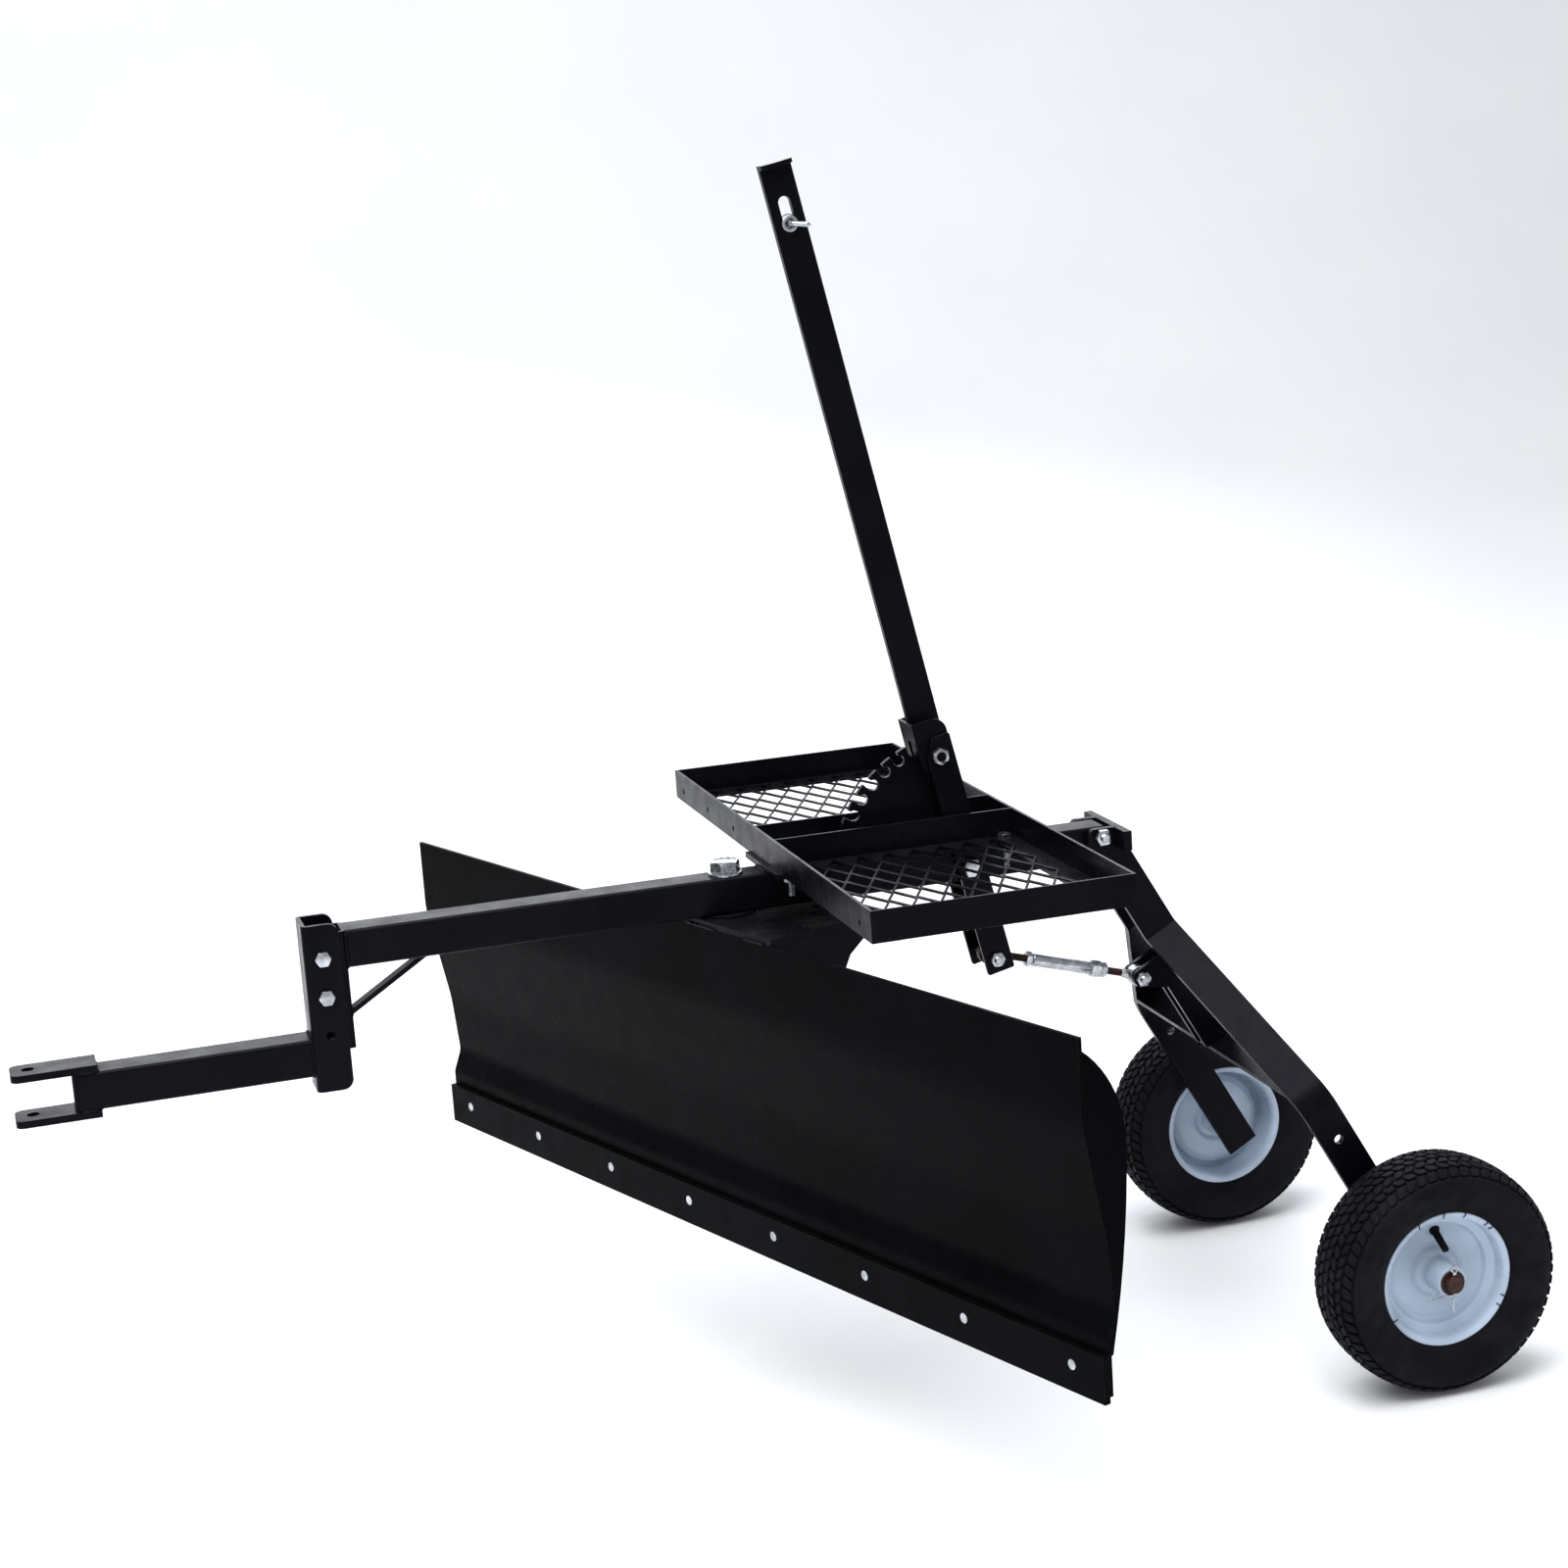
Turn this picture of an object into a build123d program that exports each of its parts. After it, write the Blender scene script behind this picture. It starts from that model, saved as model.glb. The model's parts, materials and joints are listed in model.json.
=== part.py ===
from build123d import *
import os
from math import atan2, cos, degrees, hypot, radians, sin

# Tow-behind grading blade on two wheels. Millimetres, +X towards the hitch, +Y to the left,
# +Z up. Everything is drawn about a point 6 mm above the ground, straight below the pivot bolt
# that the blade turns on. save() then moves it all, so that the origin is the centre of the hitch
# pin's hole, midway between the two lugs.

# Main beam and tongue: 2 in square tube
TUBE = 50.8
TUBE_WALL = 4.0
TUBE_CORNER = 5.0
BEAM_FRONT = 524.0
BEAM_REAR = -545.0
BEAM_Z = 734.0
BEAM_TOP = BEAM_Z + TUBE / 2
BEAM_BOTTOM = BEAM_Z - TUBE / 2
POST_BOTTOM = 600.0
TONGUE_Z = 593.0
TONGUE_FRONT = 886.0
CAP = 4.0

# Hitch
BRACKET_WALL = 6.0
BRACKET_REAR = 533.0
BRACKET_FRONT = BEAM_FRONT + TUBE + BRACKET_WALL + 0.4
BRACKET_TOP = 773.0
BRACKET_BOTTOM = 547.0
HITCH_BOLT_X = 557.0
HITCH_BOLT_TOP = 728.0
HITCH_BOLT_STEP = 52.6
HITCH_PIN_X = 943.0
HITCH_PIN_R = 8.25
LUG = 10.0
LUG_REAR = 857.0
LUG_TIP = 966.0

# Weight tray: angle rails, 4 mm thick, with an expanded-metal floor either side of the beam
TRAY_FRONT = -55.0
TRAY_REAR = -404.0
TRAY_HALF = 471.5
TRAY_INNER = 45.0
RAIL_HEIGHT = 41.5
RAIL_FLANGE = 38.0
RAIL_WALL = 4.0
CROSS_BAR = 8.0
CROSS_BAR_WIDTH = 45.0
CROSS_BAR_HALF = 75.0
TRAY_BOTTOM = BEAM_TOP + CROSS_BAR
TRAY_BOLT_Y = 60.0
TRAY_BOLT_INSET = 20.0
RAIL_HOLES_Y = (150.0, 288.0, 425.0)
MESH_PITCH_X = 38.0
MESH_PITCH_Y = 80.0
MESH_STRAND = 3.4
MESH_THICK = 3.0

# Blade: 60 in long and 18 in high, turned about the pivot bolt
BLADE_ANGLE = 20.0
BLADE_HALF = 762.0
BLADE_BOTTOM = 237.0
BLADE_TOP = 697.0
SHEET = 5.0
EDGE_FACE = 35.0
EDGE_THICK = 9.0
EDGE_HEIGHT = 60.0
EDGE_BOLTS = 8
EDGE_BOLT_INSET = 57.0
EDGE_BOLT_R = 5.0
EDGE_HEAD_R = 7.0
PLATE = 8.0
TABLE_HALF = 165.0
TABLE_REAR = -140.0
TABLE_FRONT = 50.0
INDEX_RADIUS = 120.0
INDEX_ANGLES = (-54.0, -37.0, -20.0, 0.0, 20.0, 37.0, 54.0)
INDEX_HOLE_R = 7.0

# Lever, its notched sector and the handle
LEVER_X = -341.0
LEVER_Z = 730.0
LEVER_TILT = 12.7
LEVER_UP = 166.0
LEVER_DOWN = 140.0
LEVER_WIDTH = 40.0
LEVER_PLATE = 6.0
LEVER_INSIDE = 29.0
LEVER_BACKSET = 2.5
HANDLE_TILT = 11.9
HANDLE_WIDTH = 44.0
HANDLE_THICK = 10.0
HANDLE_BOTTOM = 34.0
HANDLE_TOP = 826.0
KEYHOLE_R = 12.0
KEYHOLE_Z = HANDLE_TOP - 82.0
SECTOR_R = 188.0
SECTOR_THICK = 8.0
NOTCHES = 6
NOTCH_STEP = 8.0
NOTCH_FIRST = 20.5
NOTCH_R = 7.5

# Wheel carriage: splayed flat-bar arms that hang from a bolt through the beam's rear end
CARRIAGE_X = -536.0
CARRIAGE_Z = 748.0
AXLE_X = -866.0
AXLE_Z = 159.0
ARM_WIDTH = 50.0
ARM_THICK = 10.0
ARM_TOP_Y = 34.0
ARM_LOW_Y = 281.0
ARM_BEND_TOP = 167.0
ARM_BEND_LOW = 396.0
ARM_END = 26.0
ARM_HOLE_DOWN = 465.0
ARM_HOLE_R = 6.5
CROSS_AT = 377.0
LINK_REAR_X = -596.0
LINK_REAR_Z = 528.0

# Wheels: 13 x 5.00-6 turf tyres
TYRE_R = 165.0
TYRE_HALF = 58.0
WHEEL_Y = 355.0
RIM_R = 95.0
SPINDLE_R = 12.7
HUB_HALF = 50.0
HUB_R = 21.0
AXLE_WASHER_R = 17.5

CENTRED = (Align.CENTER, Align.CENTER, Align.MIN)


def block(x0, x1, y0, y1, z0, z1):
    """Box between two corners."""
    return Pos(x0, y0, z0) * Box(x1 - x0, y1 - y0, z1 - z0, align=(Align.MIN,) * 3)


def round_y(radius, x, z, y0, y1):
    """Round bar along Y."""
    return Pos(x, y0, z) * Rot(-90, 0, 0) * Cylinder(radius, y1 - y0, align=CENTRED)


def round_z(radius, x, y, z0, z1):
    """Round bar along Z."""
    return Pos(x, y, z0) * Cylinder(radius, z1 - z0, align=CENTRED)


def side_plate(outline, y0, y1):
    """A flat outline drawn as (X, Z), given thickness from y0 to y1."""
    return Pos(0, y1, 0) * Rot(90, 0, 0) * extrude(outline, y1 - y0)


def tube_section():
    """Cross-section of the square tube, with round corners."""
    outer = RectangleRounded(TUBE, TUBE, TUBE_CORNER)
    bore = TUBE - 2 * TUBE_WALL
    return outer - RectangleRounded(bore, bore, TUBE_CORNER - TUBE_WALL + 0.5)


def tube_x(x0, x1, z):
    """Square tube along X."""
    return Pos(x0, 0, z) * Rot(0, 90, 0) * extrude(tube_section(), x1 - x0)


def tube_z(x, z0, z1):
    """Square tube along Z."""
    return Pos(x, 0, z0) * extrude(tube_section(), z1 - z0)


def hex_head(across_flats, height):
    """Hexagon standing on the XY plane, with its outer corners turned off."""
    prism = extrude(RegularPolygon(across_flats / 2, 6, major_radius=False), height)
    cone_low = across_flats / 2 * 1.16
    turned = Cone(cone_low + height, across_flats / 2 * 0.97, height + cone_low * 0.19,
                  align=CENTRED)
    return prism & Pos(0, 0, -cone_low * 0.19) * turned


def bolt(radius, grip, head_flats, head_height):
    """Hex bolt whose head sits on the XY plane, shank pointing down to z = -grip."""
    shank = Pos(0, 0, -grip) * Cylinder(radius, grip, align=CENTRED)
    return hex_head(head_flats, head_height) + chamfer(shank.edges().sort_by(Axis.Z)[0], 1.0)


def nut(radius, flats, height):
    """Hex nut on the XY plane, whose bore takes the bolt's shank."""
    return hex_head(flats, height) - Cylinder(radius, height, align=CENTRED)


def washer(inner, outer, height):
    """Flat washer on the XY plane."""
    ring = Cylinder(outer, height, align=CENTRED)
    return ring - Cylinder(inner, height, align=CENTRED)


def pointing_left(part, x, y, z):
    """Moves a fastener so that its +Z points along +Y."""
    return Pos(x, y, z) * Rot(-90, 0, 0) * part


def pointing_right(part, x, y, z):
    """Moves a fastener so that its +Z points along -Y."""
    return Pos(x, y, z) * Rot(90, 0, 0) * part


def cross_bolt(radius, flats, head, x, z, y_left, y_right, stick_out):
    """Bolt along Y, head on the left at y_left, with its nut on the right at y_right."""
    body = pointing_left(bolt(radius, y_left - y_right + head + stick_out, flats, head), x, y_left, z)
    ring = pointing_right(nut(radius, flats, head), x, y_right, z)
    return [body, ring]


def both_sides(part):
    """A piece and its mirror image in the centre plane."""
    return [part, mirror(part, about=Plane.XZ)]


def swapped(parts):
    """Parts mirrored left for right, so a bolt's nut ends up on the left."""
    return [mirror(part, about=Plane.XZ) for part in parts]


def bent_strip(points, radii, thick):
    """Outline of a bent sheet: one face along the points, its thickness to the right."""
    with BuildSketch() as outline:
        with BuildLine():
            face = FilletPolyline(*points, radius=radii)
            back = offset(face, thick, side=Side.RIGHT, closed=False, mode=Mode.PRIVATE)
            add(back)
            Line(face @ 0, back.vertices().sort_by_distance(face @ 0)[0])
            Line(face @ 1, back.vertices().sort_by_distance(face @ 1)[0])
        make_face()
    return outline.sketch


def polar(x, z, radius, tilt):
    """Point at a radius from (x, z), tilted forward from the vertical."""
    return x + radius * sin(radians(tilt)), z + radius * cos(radians(tilt))


# ---------------------------------------------------------------- frame

def main_beam():
    """Level square tube, drilled for the blade, lever and carriage pivots."""
    beam = tube_x(BEAM_REAR, BEAM_FRONT, BEAM_Z)
    beam -= round_z(12.5, 0, 0, BEAM_BOTTOM, BEAM_TOP)
    beam -= round_z(INDEX_HOLE_R, -INDEX_RADIUS, 0, BEAM_BOTTOM, BEAM_TOP)
    beam -= round_y(8.0, LEVER_X, LEVER_Z, -TUBE, TUBE)
    beam -= round_y(6.0, CARRIAGE_X, CARRIAGE_Z, -TUBE, TUBE)
    return beam


def hitch_post():
    """Short drop post welded to the beam's front end."""
    post = tube_z(BEAM_FRONT + TUBE / 2, POST_BOTTOM, BEAM_TOP)
    for step in range(3):
        z = HITCH_BOLT_TOP - step * HITCH_BOLT_STEP
        post -= round_y(6.0, HITCH_BOLT_X, z, -TUBE, TUBE)
    return post


def beam_brace():
    """Flat diagonal strip between the post's back and the beam's underside."""
    thick = 6.5
    half = 10.0
    foot = 40.0
    reach = 111.0
    slope = atan2(BEAM_BOTTOM - POST_BOTTOM - foot, reach)
    with BuildSketch() as outline:
        Polygon((BEAM_FRONT, POST_BOTTOM + foot),
                (BEAM_FRONT, POST_BOTTOM + foot + thick / cos(slope)),
                (BEAM_FRONT - reach + thick / sin(slope), BEAM_BOTTOM),
                (BEAM_FRONT - reach, BEAM_BOTTOM), align=None)
    return side_plate(outline.sketch, -half, half)


def hitch_bracket():
    """Channel over the drop post: web in front, flanges drilled for three heights."""
    half = TUBE / 2 + 0.2 + BRACKET_WALL
    height = BRACKET_TOP - BRACKET_BOTTOM
    with BuildSketch() as section:
        with Locations(((BRACKET_REAR + BRACKET_FRONT) / 2, 0)):
            Rectangle(BRACKET_FRONT - BRACKET_REAR, 2 * half)
        fillet(section.vertices().group_by(Axis.X)[-1], 9)
        inner = BRACKET_FRONT - BRACKET_WALL
        with Locations(((BRACKET_REAR + inner) / 2, 0)):
            Rectangle(inner - BRACKET_REAR, 2 * (half - BRACKET_WALL), mode=Mode.SUBTRACT)
    channel = Pos(0, 0, BRACKET_BOTTOM) * extrude(section.sketch, height)
    for z in (BRACKET_BOTTOM, BRACKET_TOP):
        corner = 14.0
        inside = corner if z == BRACKET_BOTTOM else -corner
        waste = block(BRACKET_REAR, BRACKET_REAR + corner, -half, half,
                      min(z, z + inside), max(z, z + inside))
        waste -= round_y(corner, BRACKET_REAR + corner, z + inside, -half, half)
        channel -= waste
    for step in range(3):
        z = HITCH_BOLT_TOP - step * HITCH_BOLT_STEP
        channel -= round_y(6.0, HITCH_BOLT_X, z, -half, half)
    return channel


def hitch_fasteners():
    """Two bolts through the bracket and post, with their nuts."""
    half = TUBE / 2 + 0.2 + BRACKET_WALL
    bolts = []
    nuts = []
    for step in range(2):
        z = HITCH_BOLT_TOP - step * HITCH_BOLT_STEP
        body, ring = cross_bolt(6.0, 19.0, 7.5, HITCH_BOLT_X, z, half, -half, 6.0)
        bolts.append(body)
        nuts.append(ring)
    return bolts, nuts


def tongue_tube():
    return tube_x(BRACKET_FRONT, TONGUE_FRONT, TONGUE_Z)


def tongue_cap():
    """Plate that closes the tongue's front end, between the lugs."""
    half = TUBE / 2
    return block(TONGUE_FRONT, TONGUE_FRONT + CAP, -half, half, TONGUE_Z - half, TONGUE_Z + half)


def tongue_lugs():
    """Upper and lower hitch plates with rounded tips, drilled for the hitch pin."""
    lugs = []
    half = TUBE / 2
    corner = 11.0
    for z in (TONGUE_Z + half, TONGUE_Z - half - LUG):
        with BuildSketch() as outline:
            with Locations(((LUG_REAR + LUG_TIP) / 2, 0)):
                Rectangle(LUG_TIP - LUG_REAR, 2 * half)
            fillet(outline.vertices().group_by(Axis.X)[-1], corner)
            with Locations((HITCH_PIN_X, 0)):
                Circle(HITCH_PIN_R, mode=Mode.SUBTRACT)
        lugs.append(Pos(0, 0, z) * extrude(outline.sketch, LUG))
    return lugs


def pivot_bolt():
    """Large bolt down through the beam and the blade's turntable, with its washer and nut."""
    length = BEAM_TOP - BEAM_BOTTOM + 3 + PLATE + 4
    head = bolt(12.0, length + 4.0 + 30.0, 36.0, 15.0)
    lower = BEAM_BOTTOM - 3.0 - PLATE - 0.3
    top_washer = Pos(0, 0, BEAM_TOP) * washer(12.0, 24.0, 4.0)
    low_washer = Pos(0, 0, lower - 4.0) * washer(12.0, 24.0, 4.0)
    ring = Pos(0, 0, lower - 4.0 - 20.0) * nut(12.0, 36.0, 20.0)
    return Pos(0, 0, BEAM_TOP + 4.0) * head, [top_washer, low_washer], ring


def pivot_boss():
    """Round wear disc between the beam and the turntable."""
    return round_z(38.0, 0, 0, BEAM_BOTTOM - 2.7, BEAM_BOTTOM) - round_z(12.0, 0, 0, 0, BEAM_TOP)


def cross_bars():
    """Two short flat bars on the beam that carry the tray."""
    bars = []
    for x0 in (TRAY_FRONT + 5 - CROSS_BAR_WIDTH, TRAY_REAR - 5):
        bar = block(x0, x0 + CROSS_BAR_WIDTH, -CROSS_BAR_HALF, CROSS_BAR_HALF, BEAM_TOP, TRAY_BOTTOM)
        for x, y in tray_bolt_places():
            bar -= round_z(5.0, x, y, BEAM_TOP, TRAY_BOTTOM)
        bars.append(bar)
    return bars


def tray_bolt_places():
    rows = (TRAY_FRONT - TRAY_BOLT_INSET, TRAY_REAR + TRAY_BOLT_INSET)
    return [(x, y) for x in rows for y in (TRAY_BOLT_Y, -TRAY_BOLT_Y)]


def transverse_rail(outer_x, inward):
    """Front or rear tray rail: upright leg outside, flat leg inside, mitred by butting."""
    leg_x = sorted((outer_x, outer_x + inward * RAIL_WALL))
    flat_x = sorted((outer_x, outer_x + inward * RAIL_FLANGE))
    top = TRAY_BOTTOM + RAIL_HEIGHT
    rail = block(*leg_x, -TRAY_HALF, TRAY_HALF, TRAY_BOTTOM, top)
    rail += block(*flat_x, -TRAY_HALF, TRAY_HALF, TRAY_BOTTOM, TRAY_BOTTOM + RAIL_WALL)
    for x, y in tray_bolt_places():
        rail -= round_z(5.0, x, y, TRAY_BOTTOM, top)
    return rail


def tray_front_rail():
    """Front rail, with a row of small holes in its upright leg."""
    rail = transverse_rail(TRAY_FRONT, -1)
    z = TRAY_BOTTOM + RAIL_HEIGHT * 0.4
    for y in RAIL_HOLES_Y:
        for side in (y, -y):
            hole = Pos(TRAY_FRONT, side, z) * Rot(0, -90, 0) * Cylinder(4.0, RAIL_WALL, align=CENTRED)
            rail -= hole
    return rail


def lengthwise_rail(outer_y, inward):
    """Rail along X between the front and rear rails."""
    top = TRAY_BOTTOM + RAIL_HEIGHT
    leg_y = sorted((outer_y, outer_y + inward * RAIL_WALL))
    flat_y = sorted((outer_y, outer_y + inward * RAIL_FLANGE))
    x0 = TRAY_REAR + RAIL_WALL
    x1 = TRAY_FRONT - RAIL_WALL
    flat = TRAY_BOTTOM + RAIL_WALL
    rail = block(x0, x1, *leg_y, flat, top)
    rail += block(TRAY_REAR + RAIL_FLANGE, TRAY_FRONT - RAIL_FLANGE, *flat_y, TRAY_BOTTOM, flat)
    return rail


def floor_mesh():
    """Expanded-metal floor of the left-hand tray, as a sheet with diamond openings."""
    lap = 12.0
    x0 = TRAY_REAR + RAIL_FLANGE - lap
    x1 = TRAY_FRONT - RAIL_FLANGE + lap
    y0 = TRAY_INNER + RAIL_FLANGE - lap
    y1 = TRAY_HALF - RAIL_FLANGE + lap
    slope = hypot(1 / MESH_PITCH_X, 1 / MESH_PITCH_Y) * MESH_STRAND
    half_x = MESH_PITCH_X / 2 * (1 - slope)
    half_y = MESH_PITCH_Y / 2 * (1 - slope)
    columns = int((x1 - x0) / MESH_PITCH_X * 2) + 2
    rows = int((y1 - y0) / MESH_PITCH_Y * 2) + 2
    margin = MESH_STRAND
    with BuildSketch() as sheet:
        with Locations(((x0 + x1) / 2, (y0 + y1) / 2)):
            Rectangle(x1 - x0, y1 - y0)
        with BuildSketch(mode=Mode.SUBTRACT):
            places = []
            for i in range(columns):
                for j in range(rows):
                    if (i + j) % 2:
                        continue
                    places.append((x0 + i * MESH_PITCH_X / 2, y0 + j * MESH_PITCH_Y / 2))
            with Locations(places):
                Polygon((half_x, 0), (0, half_y), (-half_x, 0), (0, -half_y), align=None)
            with Locations(((x0 + x1) / 2, (y0 + y1) / 2)):
                Rectangle(x1 - x0 - 2 * margin, y1 - y0 - 2 * margin, mode=Mode.INTERSECT)
    floor = TRAY_BOTTOM + RAIL_WALL
    mesh = Pos(0, 0, floor) * extrude(sheet.sketch, MESH_THICK)
    for x, y in tray_bolt_places():
        mesh -= round_z(15.0, x, y, floor, floor + MESH_THICK)
    return mesh


def tray_fasteners():
    """Four bolts that hold the tray on its cross bars; nuts below."""
    bolts = []
    nuts = []
    top = TRAY_BOTTOM + RAIL_WALL
    for x, y in tray_bolt_places():
        bolts.append(Pos(x, y, top) * bolt(5.0, RAIL_WALL + CROSS_BAR + 8.0 + 20.0, 17.0, 6.5))
        nuts.append(Pos(x, y, BEAM_TOP - 8.0) * nut(5.0, 17.0, 8.0))
    return bolts, nuts


def notch_sector():
    """Upright plate on the beam with hooked notches along its arc."""
    first = NOTCH_FIRST - NOTCH_STEP * 0.7
    last = NOTCH_FIRST + NOTCH_STEP * (NOTCHES - 0.3)
    start = polar(LEVER_X, LEVER_Z, SECTOR_R, first)
    middle = polar(LEVER_X, LEVER_Z, SECTOR_R, (first + last) / 2)
    end = polar(LEVER_X, LEVER_Z, SECTOR_R, last)
    foot = 16.0
    with BuildSketch() as outline:
        with BuildLine():
            ThreePointArc(start, middle, end)
            Line(end, (end[0] + foot / 2, BEAM_TOP))
            Line((end[0] + foot / 2, BEAM_TOP), (start[0] - foot, BEAM_TOP))
            Line((start[0] - foot, BEAM_TOP), start)
        make_face()
        for step in range(NOTCHES):
            tilt = NOTCH_FIRST + step * NOTCH_STEP
            seat = polar(LEVER_X, LEVER_Z, SECTOR_R - NOTCH_R * 1.6, tilt)
            mouth = polar(LEVER_X, LEVER_Z, SECTOR_R - NOTCH_R * 0.4, tilt + 0.9)
            with Locations(seat):
                Circle(NOTCH_R, mode=Mode.SUBTRACT)
            with Locations(Location((*mouth, 0), (0, 0, -tilt))):
                Rectangle(NOTCH_R * 1.5, NOTCH_R * 2.6, mode=Mode.SUBTRACT)
    return side_plate(outline.sketch, -SECTOR_THICK / 2, SECTOR_THICK / 2)


# ---------------------------------------------------------------- blade

def on_blade(part):
    """Turns a piece, drawn with its face towards +X, to the blade's working angle."""
    return Rot(0, 0, BLADE_ANGLE) * part


def moldboard_front():
    """Front face of the bent sheet, from the top edge down, as (forward, up)."""
    top_face = TABLE_FRONT
    low_face = EDGE_FACE - EDGE_THICK
    return [(top_face, BLADE_TOP), (top_face, 588), (20, 440), (12, 350), (low_face, 318),
            (low_face, BLADE_BOTTOM + 8)]


def moldboard():
    """Concave sheet: upright top band, swept-back middle and a toe bent forward."""
    outline = bent_strip(moldboard_front(), (150, 260, 30, 22), SHEET)
    sheet = side_plate(outline, -BLADE_HALF, BLADE_HALF)
    for y in edge_bolt_places():
        sheet -= facing_front(edge_bolt_blank(), EDGE_FACE, y, EDGE_BOLT_Z)
    return on_blade(sheet)


def edge_bolt_places():
    step = (2 * BLADE_HALF - 2 * EDGE_BOLT_INSET) / (EDGE_BOLTS - 1)
    return [EDGE_BOLT_INSET - BLADE_HALF + i * step for i in range(EDGE_BOLTS)]


def facing_front(part, x, y, z):
    """Moves a fastener so that its +Z points out of the blade's face."""
    return Pos(x, y, z) * Rot(0, 90, 0) * part


EDGE_BOLT_Z = BLADE_BOTTOM + 35.0


def edge_bolt_blank():
    """Flush-headed bolt: a shallow cone head level with the bar, then the shank."""
    head_height = 3.0
    length = 32.0
    head = Pos(0, 0, -head_height) * Cone(EDGE_BOLT_R, EDGE_HEAD_R, head_height, align=CENTRED)
    return head + Pos(0, 0, -length) * Cylinder(EDGE_BOLT_R, length - head_height, align=CENTRED)


def cutting_edge():
    """Flat wear bar along the toe of the blade, in front of the sheet."""
    bar = block(EDGE_FACE - EDGE_THICK, EDGE_FACE, -BLADE_HALF, BLADE_HALF,
                BLADE_BOTTOM, BLADE_BOTTOM + EDGE_HEIGHT)
    for y in edge_bolt_places():
        bar -= facing_front(edge_bolt_blank(), EDGE_FACE, y, EDGE_BOLT_Z)
    return on_blade(bar)


def edge_fasteners():
    """Flush bolts through the wear bar and the nuts behind the sheet."""
    bolts = []
    nuts = []
    back = EDGE_FACE - EDGE_THICK - SHEET
    for y in edge_bolt_places():
        bolts.append(on_blade(facing_front(edge_bolt_blank(), EDGE_FACE, y, EDGE_BOLT_Z)))
        ring = Pos(back, y, EDGE_BOLT_Z) * Rot(0, -90, 0) * nut(EDGE_BOLT_R, 17.0, 8.0)
        nuts.append(on_blade(ring))
    return bolts, nuts


def behind_sheet(part, sheet):
    """What is left of a piece behind the moldboard sheet."""
    return max((part - sheet).solids(), key=lambda solid: -solid.center().X)


def end_plates():
    """Curved stiffener plates at both ends, behind the sheet."""
    plates = []
    top = (TABLE_FRONT - 1, BLADE_TOP - 14)
    with BuildSketch() as outline:
        with BuildLine():
            ThreePointArc(top, (-5, 616), (-18.5, 552))
            ThreePointArc((-18.5, 552), (-11, 455), (18, 296))
            Polyline((18, 296), (40, 296), (60, 440), (60, BLADE_TOP - 14), top)
        make_face()
    sheet = Rot(0, 0, -BLADE_ANGLE) * moldboard()
    for y0 in (-BLADE_HALF, BLADE_HALF - 6.0):
        blank = side_plate(outline.sketch, y0, y0 + 6.0)
        plates.append(on_blade(behind_sheet(blank, sheet)))
    return plates


def turntable_plate():
    """Flat plate under the beam that turns about the pivot bolt."""
    low = BLADE_TOP + 0.6
    plate = block(TABLE_REAR, TABLE_FRONT, -TABLE_HALF, TABLE_HALF, low, low + PLATE)
    rear = plate.edges().filter_by(Axis.Z).group_by(Axis.X)[0]
    plate = fillet(rear, 25)
    plate -= round_z(12.05, 0, 0, low, low + PLATE)
    for angle in INDEX_ANGLES:
        x = -INDEX_RADIUS * cos(radians(angle))
        y = INDEX_RADIUS * sin(radians(angle))
        plate -= round_z(INDEX_HOLE_R, x, y, low, low + PLATE)
    return on_blade(plate)


def turntable_gussets():
    """Side plates that tie the turntable to the back of the sheet."""
    gussets = []
    top = BLADE_TOP + 0.6
    sheet = Rot(0, 0, -BLADE_ANGLE) * moldboard()
    with BuildSketch() as outline:
        Polygon((TABLE_FRONT - SHEET, top), (TABLE_REAR + 30, top), (TABLE_REAR + 30, top - 18),
                (TABLE_REAR + 60, top - 40), (20, 470), (TABLE_FRONT - SHEET, 470), align=None)
    for y0 in (-TABLE_HALF, TABLE_HALF - 6.0):
        blank = side_plate(outline.sketch, y0, y0 + 6.0)
        gussets.append(on_blade(behind_sheet(blank, sheet)))
    return gussets


# ---------------------------------------------------------------- lever

def along_lever(distance, forward=0.0):
    """Point along the lever's centre line, measured up from its pivot."""
    x, z = polar(LEVER_X, LEVER_Z, distance, LEVER_TILT)
    return x + forward * cos(radians(LEVER_TILT)), z - forward * sin(radians(LEVER_TILT))


def lever_plates():
    """Two flat bars either side of the beam, with the handle above and the link below."""
    over = 20.0
    top = LEVER_UP + 27.0
    rear = -LEVER_WIDTH / 2 - LEVER_BACKSET
    front = LEVER_WIDTH / 2 - LEVER_BACKSET
    corners = [along_lever(LEVER_UP - 2.0, front), along_lever(top, front - 14.0),
               along_lever(top, rear), along_lever(-LEVER_DOWN - over, rear),
               along_lever(-LEVER_DOWN - over, front)]
    with BuildSketch() as outline:
        Polygon(*corners, align=None)
        chamfer(outline.vertices(), 2)
        with Locations(along_lever(0)):
            Circle(8.05, mode=Mode.SUBTRACT)
        with Locations(along_lever(LEVER_UP), along_lever(-LEVER_DOWN)):
            Circle(6.0, mode=Mode.SUBTRACT)
    return both_sides(side_plate(outline.sketch, LEVER_INSIDE, LEVER_INSIDE + LEVER_PLATE))


def lever_pivot():
    """Bolt through the beam that the lever turns on, with side washers and nut."""
    face = LEVER_INSIDE + LEVER_PLATE + 0.3
    parts = cross_bolt(8.0, 24.0, 10.0, LEVER_X, LEVER_Z, face, -face, 5.0)
    for ring in both_sides(pointing_left(washer(8.0, 15.0, 3.3), LEVER_X, TUBE / 2, LEVER_Z)):
        parts.append(ring)
    return parts


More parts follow.
